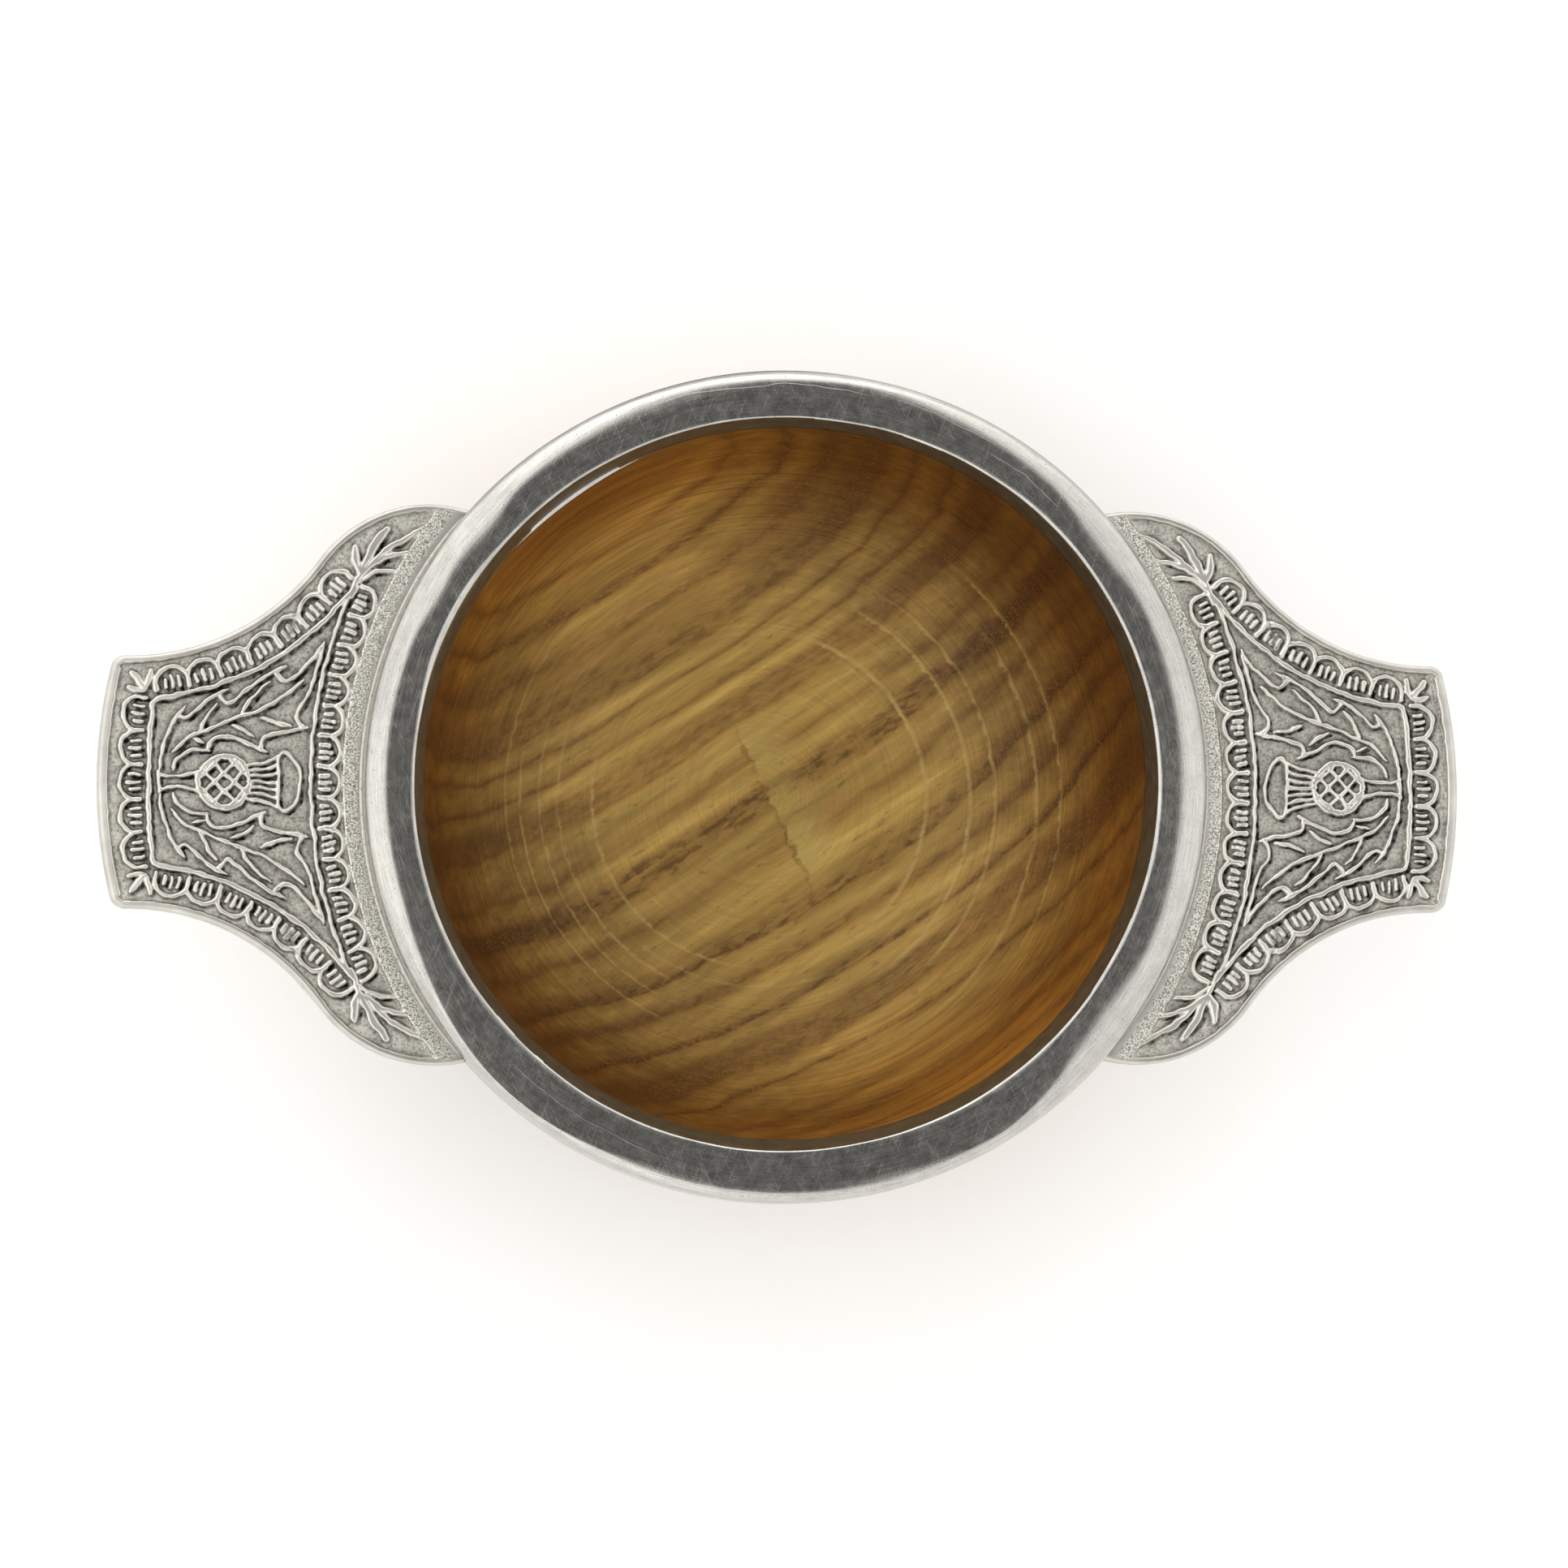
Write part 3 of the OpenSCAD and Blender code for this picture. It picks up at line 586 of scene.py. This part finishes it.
shoulderC = Vector((rimR - lugSet["shoulderSet"], lugSet["width"] / 2 - shoulderR))


def crossing(a, ra, b, rb):
    # where two circles cross, on the left of the way from a to b
    way = b - a
    along = (ra * ra - rb * rb + way.length_squared) / (2 * way.length)
    unit = way.normalized()
    return a + unit * along + Vector((-unit.y, unit.x)) * sqrt(max(ra * ra - along * along, 0))


tipSide = Vector((tipC.x + sqrt(tipR ** 2 - lugSet["tipWidth"] ** 2 / 4), lugSet["tipWidth"] / 2))
waistC = crossing(shoulderC, shoulderR + waistR, tipSide, waistR)
meetR = (shoulderC + (waistC - shoulderC).normalized() * shoulderR).length
tipCorner = crossing(waistC, waistR, tipC, tipR)
cornerR, cornerAngle = tipCorner.length, atan2(tipCorner.y, tipCorner.x)


def edgeAngle(radius):
    if radius < meetR:
        point = crossing(origin2, radius, shoulderC, shoulderR)
    else:
        point = crossing(waistC, waistR, origin2, radius)
    return atan2(point.y, point.x)


def roundedTip(point):
    # draws the two sharp tip corners round
    side = 1 if point.y > 0 else -1
    ease = lugSet["cornerR"]
    p = Vector((point.x, abs(point.y)))
    toWaist, fromTip = waistC - p, p - tipC
    a = ease - (toWaist.length - waistR)
    b = ease - (tipR - fromTip.length)
    if a > 0 and b > 0:
        a2 = a * sqrt(max(1 - b * b / (2 * ease * ease), 0))
        b2 = b * sqrt(max(1 - a * a / (2 * ease * ease), 0))
        p += toWaist.normalized() * (a2 - a) + fromTip.normalized() * (b2 - b)
    return Vector((p.x, p.y * side))


def gridPoint(i, j):
    s, t = i / lugSet["rows"], 2 * j / lugSet["columns"] - 1
    radius = rootR + s * (cornerR - rootR)
    aim = t * cornerAngle
    tipReach = tipC.x * cos(aim) + sqrt(tipR ** 2 - (tipC.x * sin(aim)) ** 2)
    angle = t * edgeAngle(radius)
    radius += s * s * (tipReach - cornerR)
    radius += (dried(rimR, angle) - rimR - lugSet["rootFit"]) * max(1 - s / lugSet["rootFade"], 0)
    return roundedTip(Vector((radius * cos(angle), radius * sin(angle))))


def lugBlank():
    rows, columns, coarse = lugSet["rows"], lugSet["columns"], lugSet["coarse"]
    points, faces, upper, lower = [], [], {}, {}
    flatGrid = {(i, j): gridPoint(i, j) for i in range(rows + 1) for j in range(columns + 1)}
    for key, p in flatGrid.items():
        upper[key] = len(points)
        points.append((p.x, p.y, 0))
    for i in range(rows):
        for j in range(columns):
            faces.append((upper[i, j], upper[i + 1, j], upper[i + 1, j + 1], upper[i, j + 1]))
    for i in range(0, rows + 1, coarse):
        for j in range(0, columns + 1, coarse):
            p = flatGrid[i, j]
            onEdge = i == rows or j in (0, columns)
            lower[i, j] = len(points)
            points.append((p.x, p.y, -lugThick + (lugSet["underEase"] if onEdge else 0)))
    for i in range(0, rows, coarse):
        for j in range(0, columns, coarse):
            faces.append((lower[i, j], lower[i, j + coarse], lower[i + coarse, j + coarse], lower[i + coarse, j]))
    loop = ([(0, j) for j in range(columns)] + [(i, columns) for i in range(rows)]
            + [(rows, j) for j in range(columns, 0, -1)] + [(i, 0) for i in range(rows, 0, -1)])
    count = len(loop)
    for k in range(0, count, coarse):
        a, b = lower[loop[k]], lower[loop[(k + coarse) % count]]
        half = coarse // 2
        for m in range(coarse):
            foot = a if m < half else b
            faces.append((upper[loop[k + m]], upper[loop[(k + m + 1) % count]], foot))
        faces.append((upper[loop[k + half]], b, a))
    mesh = makeMesh("lugBlank", points, faces)
    rootEdge = {upper[0, j] for j in range(columns + 1)}
    for edge in mesh.edges:
        if edge.vertices[0] in rootEdge and edge.vertices[1] in rootEdge:
            edge.use_edge_sharp = True
    tag = mesh.attributes.new("upper", "FLOAT", "POINT")
    topCount = len(flatGrid)
    tag.data.foreach_set("value", [1.0 if n < topCount else 0.0 for n in range(len(points))])
    return mesh, [flatGrid[key] for key in loop if key[0] > 0]


def smoothed(points, steps=6):
    # a curve through the drawn points
    curve = []
    for i in range(len(points) - 1):
        a, b = Vector(points[max(i - 1, 0)]), Vector(points[i])
        c, d = Vector(points[i + 1]), Vector(points[min(i + 2, len(points) - 1)])
        for k in range(steps):
            t = k / steps
            curve.append((2 * b + (c - a) * t + (2 * a - 5 * b + 4 * c - d) * t * t
                          + (3 * b - a - 3 * c + d) * t ** 3) / 2)
    return [(p.x, p.y) for p in curve] + [tuple(points[-1])]


def strokeCurve(name, strokes):
    # each stroke is its points and its half widths, both in mm
    data = bpy.data.curves.new(name, "CURVE")
    data.dimensions = "3D"
    for points, widths in strokes:
        spline = data.splines.new("POLY")
        spline.points.add(len(points) - 1)
        for k, (x, y) in enumerate(points):
            spline.points[k].co = (x * mm, y * mm, 0, 1)
            spline.points[k].radius = widths[k] if isinstance(widths, list) else widths
    return linkObject(name, data)


def pointed(points, width, sharp=0.45):
    # a stroke that thins at both ends
    last = len(points) - 1
    return points, [width * (sharp + (1 - sharp) * min(1, min(k, last - k) / 3)) for k in range(last + 1)]


def mirrored(strokes):
    return strokes + [([(x, -y) for x, y in points], widths) for points, widths in strokes]


leafStrokes = [
    [(80.8, 1.6), (80.5, 4.0), (79.6, 6.6), (78.7, 8.3), (77.7, 9.7)],
    [(78.5, 8.5), (77.5, 8.1), (75.6, 9.8), (73.8, 11.1), (72.3, 11.7)],
    [(73.6, 11.1), (72.9, 10.4), (72.3, 9.9), (71.4, 10.4), (69.5, 12.1), (67.0, 13.9), (64.9, 14.8)],
    [(66.6, 14.1), (65.9, 13.4), (65.1, 13.0), (63.8, 13.7), (61.9, 15.7), (60.3, 18.0)],
    [(79.2, 1.5), (78.8, 2.6), (77.5, 3.7), (76.0, 4.1), (74.7, 4.0)],
    [(74.9, 4.1), (74.6, 5.1), (73.6, 5.75), (71.8, 5.75), (69.5, 4.75), (67.5, 3.8)],
    [(68.0, 4.2), (68.2, 5.0), (67.6, 5.8), (65.5, 6.35), (62.3, 6.9)],
    [(62.7, 6.9), (63.5, 7.7), (63.6, 9.1), (62.4, 11.0), (61.4, 13.8), (60.3, 18.0)],
    [(79.3, 3.6), (77.6, 5.3), (75.8, 6.3), (70.9, 8.3), (68.0, 9.3), (65.0, 11.2), (62.8, 13.1)],
    [(75.9, 6.4), (74.9, 8.4), (73.7, 10.0)],
    [(70.7, 8.5), (69.4, 10.6), (67.0, 12.7)],
    [(71.8, 7.2), (70.2, 6.6), (69.0, 5.7)],
    [(68.2, 8.3), (66.5, 7.6), (64.4, 7.2)],
    [(76.6, 5.3), (75.3, 4.9)]]
stalkStroke = [(75.7, 1.4), (76.6, 1.0), (78.0, 0.75), (79.8, 0.75), (80.9, 1.1)]
tuftStroke = [(66.0, 0), (66.0, 1.6), (65.9, 3.0), (65.4, 3.8), (64.5, 3.4), (63.5, 1.9), (63.2, 0)]
sprayBlades = [  # foot, bend, tip and half width of each blade
    ((55.7, 26.6), (56.3, 28.4), (56.4, 30.3), 0.55), ((55.7, 26.6), (54.3, 29.8), (52.4, 32.6), 0.6),
    ((55.7, 26.6), (51.8, 30.4), (46.9, 33.2), 0.42), ((55.7, 26.6), (52.6, 28.9), (49.4, 29.7), 0.36),
    ((56.1, 25.6), (53.8, 27.1), (51.4, 27.3), 0.32),
    ((82.6, 11.8), (82.2, 13.0), (81.9, 14.2), 0.42), ((82.6, 11.8), (83.5, 12.9), (84.3, 14.0), 0.48),
    ((82.6, 11.8), (83.7, 11.7), (84.7, 12.0), 0.42)]


def placed(point):
    # the relief was drawn for a slightly smaller lug
    x, y = point
    long, wide = lugSet["drawnSize"]
    return (rimR + (x - rimR) * lugSet["length"] / long, y * lugSet["width"] / wide)


def bearingFrom(a, b):
    return degrees(atan2(b.y - a.y, b.x - a.x))


def lugDrawing():
    d = drawingSet
    innerWaist, baseR = waistR + d["frameIn"], rootR + d["band"] + d["frameRoot"]
    lineC = Vector((reach - d["frameTip"] - d["frameTipR"], 0))
    corner = crossing(waistC, innerWaist, lineC, d["frameTipR"])
    innerShoulder = shoulderR - d["frameIn"]
    apex = crossing(origin2, baseR, shoulderC, innerShoulder)
    meet = bearingFrom(shoulderC, waistC)
    start = bearingFrom(waistC, corner)
    stop = bearingFrom(shoulderC, apex)
    side = arcPoints(waistC, innerWaist, start - 1.9, meet - 180, 40)
    side += arcPoints(shoulderC, innerShoulder, meet, stop, 6)[1:]
    tipTurn = bearingFrom(lineC, corner)
    tip = arcPoints(lineC, d["frameTipR"], -tipTurn + 0.75, tipTurn - 0.75, 24)
    bent = [tuple(Vector(tip[-1]) * (1 - t) ** 2 + corner * 2 * t * (1 - t) + Vector(side[0]) * t * t)
            for t in (0.2, 0.4, 0.6, 0.8)]
    half = tip[12:] + bent + side
    baseTurn = bearingFrom(origin2, apex)
    strokes = mirrored([(half, d["frameLine"])])
    strokes.append((arcPoints((0, 0), baseR, -baseTurn, baseTurn, 60), d["frameLine"] * 0.8))
    strokes += mirrored([pointed(smoothed([placed(p) for p in s]), d["leafLine"]) for s in leafStrokes])
    strokes += mirrored([(smoothed([placed(p) for p in s]), d["leafLine"] * 0.9)
                         for s in (stalkStroke, tuftStroke)])
    strokes.append(([placed((80.9, -1.3)), placed((80.9, 1.3))], d["leafLine"]))
    bulbX, bulbR, bulbLine = d["bulb"]
    bulbX = placed((bulbX, 0))[0]
    strokes.append((arcPoints((bulbX, 0), bulbR, 0, 360, 48), bulbLine))
    for k in (-1.5, -0.5, 0.5, 1.5):
        off = k * d["latticeStep"]
        run = sqrt(bulbR ** 2 - off ** 2)
        for slant in (45, -45):
            ways = [Matrix.Rotation(radians(slant), 2) @ Vector((off, end)) for end in (-run, 0, run)]
            strokes.append(([(bulbX + w.x, w.y) for w in ways], d["latticeLine"]))
    for k in range(d["crownLines"]):
        share = 2 * k / (d["crownLines"] - 1) - 1
        fan = [placed(p) for p in ((69.8, 2.1 * share), (67.7, 2.45 * share), (65.9, 3.3 * share))]
        strokes.append((smoothed(fan), d["crownLine"]))
    for foot, bend, end, width in sprayBlades:
        curve = smoothed([placed(foot), placed(bend), placed(end)])
        last = len(curve) - 1
        widths = [width * (0.45 + 0.55 * sin(pi * min(k / last * 0.8 + 0.05, 1))) for k in range(last + 1)]
        strokes += mirrored([(curve, widths)])
    strokes += mirrored([([placed((57.0, 24.0)), placed((55.7, 26.6))], 0.5)])
    return strokeCurve("lugDrawing", strokes)


def scallopDrawing():
    d = drawingSet
    w, h, leg = d["scallopW"] / 2, d["scallopH"], 0.9
    arch = [(-w, 0), (-w * 0.99, leg * 0.5)]
    arch += [(-w * cos(a), leg + (h - leg) * sin(a)) for a in [pi * k / 16 for k in range(17)]]
    arch += [(w * 0.99, leg * 0.5), (w, 0)]
    bars = [([(x, 0.15), (x * 1.02, top)], d["barLine"]) for x, top in ((-0.85, 1.3), (0, 1.6), (0.85, 1.3))]
    return strokeCurve("scallopDrawing", [(arch, d["scallopLine"])] + bars)


def reliefTree(rowsOfScallops):
    tree = bpy.data.node_groups.new("lugRelief", "GeometryNodeTree")
    add = partial(addNode, tree)
    sockets = {"Geometry": ["Geometry"], "Object": ["Drawing", "Scallop", "Edge"],
               "Float": ["Ground Depth", "Line Softness", "Edge Round", "Band Radius", "Sand Height", "Hand Wander",
                         "Hand Drift", "Half Turn", "Seed"], "Material": ["Metal"]}
    for kind, names in sockets.items():
        for name in names:
            tree.interface.new_socket(name, in_out="INPUT", socket_type="NodeSocket" + kind)
    tree.interface.new_socket("Geometry", in_out="OUTPUT", socket_type="NodeSocketGeometry")
    given = add("NodeGroupInput").node.outputs
    flat = add("VectorMath.SCALE", add("InputPosition"), 1 / mm)  # mm
    axes = add("SeparateXYZ", flat).node.outputs
    plan = add("CombineXYZ", axes[0], axes[1])
    sown = add("CombineXYZ", axes[0], axes[1], given["Seed"])
    drift = add("VectorMath.SUBTRACT", add("TexNoise", sown, 0.45, 1.0, out="Color"), (0.5, 0.5, 0.5))
    drift = add("VectorMath.SCALE", drift, given["Hand Drift"])
    drawn = add("VectorMath.MULTIPLY", add("VectorMath.ADD", drift, plan), (mm, mm, 0))
    planM = add("VectorMath.SCALE", plan, mm)
    index = add("InputIndex")
    scallopShape = add("ObjectInfo", given["Scallop"], out="Geometry")
    joined = add("JoinGeometry")
    for centre, radius, first, pitch, count, inward in rowsOfScallops:
        bearing = add("MULTIPLY_ADD", index, radians(pitch), radians(first))
        cosine = add("COSINE", bearing)
        sine = add("SINE", bearing)
        x = add("MULTIPLY_ADD", cosine, radius * mm, centre[0] * mm)
        y = add("MULTIPLY_ADD", sine, radius * mm, centre[1] * mm)
        spot = add("CombineXYZ", x, y)
        spots = add("Points", {"Count": count, "Position": spot})
        spin = add("ADD", bearing, radians(90 if inward else -90))
        stand = add("CombineXYZ", {2: spin})
        width = 2 * radius * sin(radians(abs(pitch)) / 2) / drawingSet["scallopW"]
        row = add("InstanceOnPoints", {
            "Points": spots, "Instance": scallopShape, "Rotation": stand, "Scale": (width, 1, 1)})
        tree.links.new(row, joined.node.inputs[0])
    scallops = add("RealizeInstances", joined)
    drawing = add("ObjectInfo", given["Drawing"], out="Geometry")
    lines = add("JoinGeometry", scallops)
    tree.links.new(drawing, lines.node.inputs[0])
    edge = add("ObjectInfo", given["Edge"], out="Geometry")
    # the lines moved towards the light: where they still cover a point, it lies in their painted shadow
    faced = add("COSINE", given["Half Turn"])
    behind = add("VectorMath.SCALE", add("VectorMath.SCALE", drawingSet["paintedShadowShift"], faced), mm)
    behind = add("VectorMath.ADD", drawn, behind)
    insides, gaps = [], []
    for strokes, here in ((lines, drawn), (edge, planM), (lines, behind)):
        close = add("ResampleCurve", {"Curve": strokes, "Length": 0.05 * mm}, mode="LENGTH")
        widened = add("StoreNamedAttribute", {
            "Geometry": close, "Name": "halfWidth", "Value": add("InputRadius")})
        wires = add("CurveToMesh", widened)
        gap = add("Proximity", {"Geometry": wires, "Sample Position": here},
                  target_element="EDGES", out="Distance")
        gap = add("MULTIPLY", gap, 1 / mm)
        nearest = add("SampleNearest", {"Geometry": wires, "Sample Position": here})
        named = add("InputNamedAttribute", "halfWidth")
        half = add("SampleIndex", {"Geometry": wires, "Value": named, "Index": nearest})
        insides.append(add("SUBTRACT", half, gap))
        gaps.append(gap)
    lift = add("MAXIMUM", insides[0], insides[1])
    fromAxis = add("VectorMath.LENGTH", plan)
    inBand = add("SUBTRACT", given["Band Radius"], fromAxis)
    lift = add("MAXIMUM", lift, inBand)
    hand = add("SUBTRACT", add("TexNoise", sown, 0.8, 2.0), 0.5)
    lift = add("MULTIPLY_ADD", hand, given["Hand Wander"], lift)
    less = add("MULTIPLY", given["Line Softness"], -1.0)
    raised = add("MapRange.SMOOTHSTEP", lift, less, given["Line Softness"])
    sandy = add("MapRange.SMOOTHSTEP", add("MULTIPLY_ADD", hand, 2.0, inBand), -0.5, 0.3)
    dressed = add("MULTIPLY_ADD", hand, 1.5, fromAxis)
    dressed = add("MapRange.SMOOTHSTEP", dressed, rootR + 0.4, rootR + 1.1)  # smooth where the seam was dressed
    sandy = add("MULTIPLY", sandy, dressed)
    clear = add("MapRange.SMOOTHSTEP", gaps[1], 0.3, 0.9)
    sandy = add("MULTIPLY", sandy, clear)
    # the outer edge rolls over in a quarter round
    toEdge = add("MAXIMUM", add("SUBTRACT", given["Edge Round"], gaps[1]), 0.0)
    square = add("MULTIPLY", given["Edge Round"], given["Edge Round"])
    used = add("MULTIPLY", toEdge, toEdge)
    left = add("SQRT", add("SUBTRACT", square, used))
    roll = add("SUBTRACT", left, given["Edge Round"])
    sunk = add("SUBTRACT", raised, 1.0)
    depth = add("MULTIPLY_ADD", sunk, given["Ground Depth"], roll)
    sand = add("SUBTRACT", add("TexNoise", sown, 1.9, 2.0, 0.6), 0.5)
    sandHere = add("MULTIPLY", sandy, given["Sand Height"])
    depth = add("MULTIPLY_ADD", sand, sandHere, depth)
    upper = add("InputNamedAttribute", "upper")
    height = add("MULTIPLY_ADD", depth, upper, axes[2])
    # arch: each level of the lug is a cylinder across it
    run = add("SUBTRACT", axes[0], archX)
    run = add("MULTIPLY", run, run)
    level = add("ADD", height, archR)
    level = add("MULTIPLY", level, level)
    rise = add("ADD", add("SQRT", add("SUBTRACT", level, run)), archZ)
    end = add("VectorMath.SCALE", add("CombineXYZ", axes[0], axes[1], rise), mm)
    geometry = given["Geometry"]
    plain = add("SUBTRACT", 1.0, upper)
    lift = add("MULTIPLY_ADD", plain, 10.0, lift)  # no ground below
    sandy = add("MULTIPLY", sandy, upper)
    for name, value in (("lift", lift), ("edgeGap", gaps[1]), ("sandy", sandy), ("black", insides[2])):
        geometry = add("StoreNamedAttribute", {"Geometry": geometry, "Name": name, "Value": value})
    geometry = add("SetPosition", {"Geometry": geometry, "Position": end})
    turned = add("CombineXYZ", {2: given["Half Turn"]})
    geometry = add("RealizeInstances", add("Transform", {"Geometry": geometry, "Rotation": turned}))
    geometry = add("SetMaterial", {"Geometry": geometry, "Material": given["Metal"]})
    add("NodeGroupOutput", geometry)
    return tree


def castLug(name, node, settings):
    blank = linkObject(name + "Blank", blankMesh)
    modifier = blank.modifiers.new("relief", "NODES")
    modifier.node_group = lugTree
    for item in lugTree.interface.items_tree:
        if item.in_out == "INPUT" and item.name in settings:
            modifier[item.identifier] = settings[item.name]
    graph = bpy.context.evaluated_depsgraph_get()
    mesh = bpy.data.meshes.new_from_object(blank.evaluated_get(graph))
    mesh.name = name
    bpy.data.objects.remove(blank)
    mesh.attributes.remove(mesh.attributes["upper"])
    lug = linkObject(name, mesh)
    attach(lug, "root")
    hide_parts(node)
    return lug


blankMesh, edgeLoop = lugBlank()
atTip = [(p - tipC).length > tipR - 0.4 and abs(p.y) < lugSet["tipWidth"] / 2 - 1 for p in edgeLoop]
edgeWidths = [drawingSet["tipBorder" if there else "border"] for there in atTip]
edgeCurve = strokeCurve("lugEdge", [([tuple(p) for p in edgeLoop], edgeWidths)])
drawingCurve = lugDrawing()
scallopCurve = scallopDrawing()
frameBaseR = rootR + drawingSet["band"] + drawingSet["frameRoot"] - drawingSet["scallopGap"]
sideRowR = waistR + drawingSet["frameIn"] - drawingSet["scallopGap"]
tipRowR = drawingSet["frameTipR"] + drawingSet["scallopGap"]
tipRowC = (reach - drawingSet["frameTip"] - drawingSet["frameTipR"], 0)
lugTree = reliefTree([  # centre, radius, first bearing, pitch, count, and whether it faces in
    ((0, 0), frameBaseR, -22.8, 3.8, 13, True),
    (tuple(waistC), sideRowR, 260.6, -7.1, 7, True),
    ((waistC.x, -waistC.y), sideRowR, 99.4, 7.1, 7, True),
    (tipRowC, tipRowR, -5.5, 2.75, 5, False)])
reliefSet = {"Drawing": drawingCurve, "Scallop": scallopCurve, "Edge": edgeCurve, "Ground Depth": 0.62,
             "Line Softness": 0.17, "Edge Round": 0.6, "Sand Height": 0.16,
             "Hand Wander": 0.36, "Hand Drift": 0.7, "Metal": lugPewter}
rightLug = castLug("pewterLugRight", "right_lug", {**reliefSet, "Half Turn": 0.0, "Seed": 3.0, "Band Radius": 57.8})
castLug("pewterLugLeft", "left_lug", {**reliefSet, "Half Turn": pi, "Seed": 40.0, "Band Radius": 58.1})
for helper in (drawingCurve, scallopCurve, edgeCurve):
    bpy.data.objects.remove(helper)
print("lugs cast:", len(rightLug.data.polygons), "faces each")

# solder: a thin seam run between rim and lug, shrunk back from the edges and dressed to a fillet on top
seamSet = {"steps": 96, "inside": 0.12, "outside": 0.2, "shrunk": 0.5, "fillet": 0.55, "filletSteps": 6,
           "least": 0.02, "sunk": 0.03}


def solderSeam(name, node, turn):
    steps, inside, outside, shrunk, fillet, filletSteps, least, sunk = seamSet.values()
    half = edgeAngle(rootR) - shrunk / rootR
    count = filletSteps + 4
    points, faces = [], []
    for k in range(steps + 1):
        across = 2 * k / steps - 1
        angle = half * across
        rimEdge = dried(rimR, angle)
        size = fillet * (1 - across ** 12) + least
        section = [(rimEdge - inside, shrunk - lugThick),
                   (rimEdge + outside, shrunk - lugThick)]
        section += arcPoints((rimEdge + size, size - sunk), size, 270, 180, filletSteps)
        section.append((rimEdge - inside, size - sunk))
        for r, level in section:
            z = archZ + sqrt((archR + level) ** 2 - (r * cos(angle) - archX) ** 2)
            points.append((r * cos(angle + turn), r * sin(angle + turn), z))
        if k > 0:
            row, before = count * k, count * (k - 1)
            faces += [(row + m, row + (m + 1) % count, before + (m + 1) % count, before + m) for m in range(count)]
    faces += [tuple(range(count)), tuple(reversed(range(count * steps, count * (steps + 1))))]
    seam = finishPiece(makeMesh(name, points, faces), solder, 40)
    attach(seam, "root")
    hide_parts(node)


solderSeam("solderRight", "right_solder", 0.0)
solderSeam("solderLeft", "left_solder", pi)
print("seams run")

# the cement keeps its CAD shape
cementData = frame["nodes"]["rim_bond"].data
cementData.materials.clear()
cementData.materials.append(cement)

# stage: pale floor, white tent open overhead, a softbox on each side
stageSet = {"floor": 3.0, "floorGlow": 0.12, "floorTone": "#fafaf9", "tent": 1.19, "tentFar": 0.95,
            "tentRight": -0.06, "tentPatch": (-0.24, 0.4, 0.26), "openX": (0.115, 0.15, 0.25),
            "openY": (0.05, 0.72, 0.84), "openTone": 0.095, "box": (0.55, 1.2),
            "boxPlace": (0.95, 0.0, 0.75), "boxPower": (0.7, 0.4)}
floorMesh = bpy.data.meshes.new("floor")
half = stageSet["floor"]
floorMesh.from_pydata([(-half, -half, 0), (half, -half, 0), (half, half, 0), (-half, half, 0)], [], [(0, 1, 2, 3)])
floorPaper, addFloor = newMaterial("paperMatt")
floorColour = grainyTone(addFloor, 600.0, [(0.3, stageSet["floorTone"]), (0.7, "#fcfcfb")], 2.0)[1]
closeMaterial(addFloor, {  # lit from below as well
    "Base Color": floorColour, "Roughness": 0.9, "Specular IOR Level": 0.1, "Emission Color": floorColour,
    "Emission Strength": stageSet["floorGlow"]})
floorMesh.materials.append(floorPaper)
linkObject("floor", floorMesh)

world = bpy.data.worlds.new("tent")
world.use_nodes = True
bpy.context.scene.world = world
world.node_tree.nodes.clear()
addSky = partial(addNode, world.node_tree)
look = addSky("SeparateXYZ", addSky("TexCoord", out="Generated")).node.outputs
shut = []
for axis, middle, near, far in ((0, *stageSet["openX"]), (1, *stageSet["openY"])):
    off = addSky("ABSOLUTE", addSky("SUBTRACT", look[axis], middle))
    shut.append(addSky("MapRange", off, near, far))
tented = addSky("MAXIMUM", shut[0], shut[1])
glow = addSky("MapRange", {0: tented, 3: stageSet["openTone"], 4: stageSet["tent"]})
lean = addSky("MULTIPLY_ADD", addSky("POWER", addSky("MAXIMUM", look[1], 0.0), 3.0), stageSet["tentFar"], 1.0)
lean = addSky("MULTIPLY_ADD", look[0], stageSet["tentRight"], lean)
patchX, patchHalf, patchGain = stageSet["tentPatch"]
patch = addSky("ABSOLUTE", addSky("SUBTRACT", look[0], patchX))
patch = addSky("MapRange.SMOOTHSTEP", patch, patchHalf, 0.0, 0.0, patchGain)
lean = addSky("ADD", lean, patch)
glow = addSky("MULTIPLY", glow, lean)
addSky("OutputWorld", addSky("Background", {"Color": (1.0, 0.995, 0.98, 1), "Strength": glow}))
for side, power in zip((-1, 1), stageSet["boxPower"]):
    lamp = bpy.data.lights.new("softbox", "AREA")
    lamp.shape = "RECTANGLE"
    lamp.size, lamp.size_y = stageSet["box"]
    lamp.energy = power
    softbox = linkObject("softbox", lamp)
    x, y, z = stageSet["boxPlace"]
    spot = Vector((side * x, y, z))
    softbox.location = spot
    softbox.rotation_euler = spot.to_track_quat("Z", "Y").to_euler()
print("stage set")
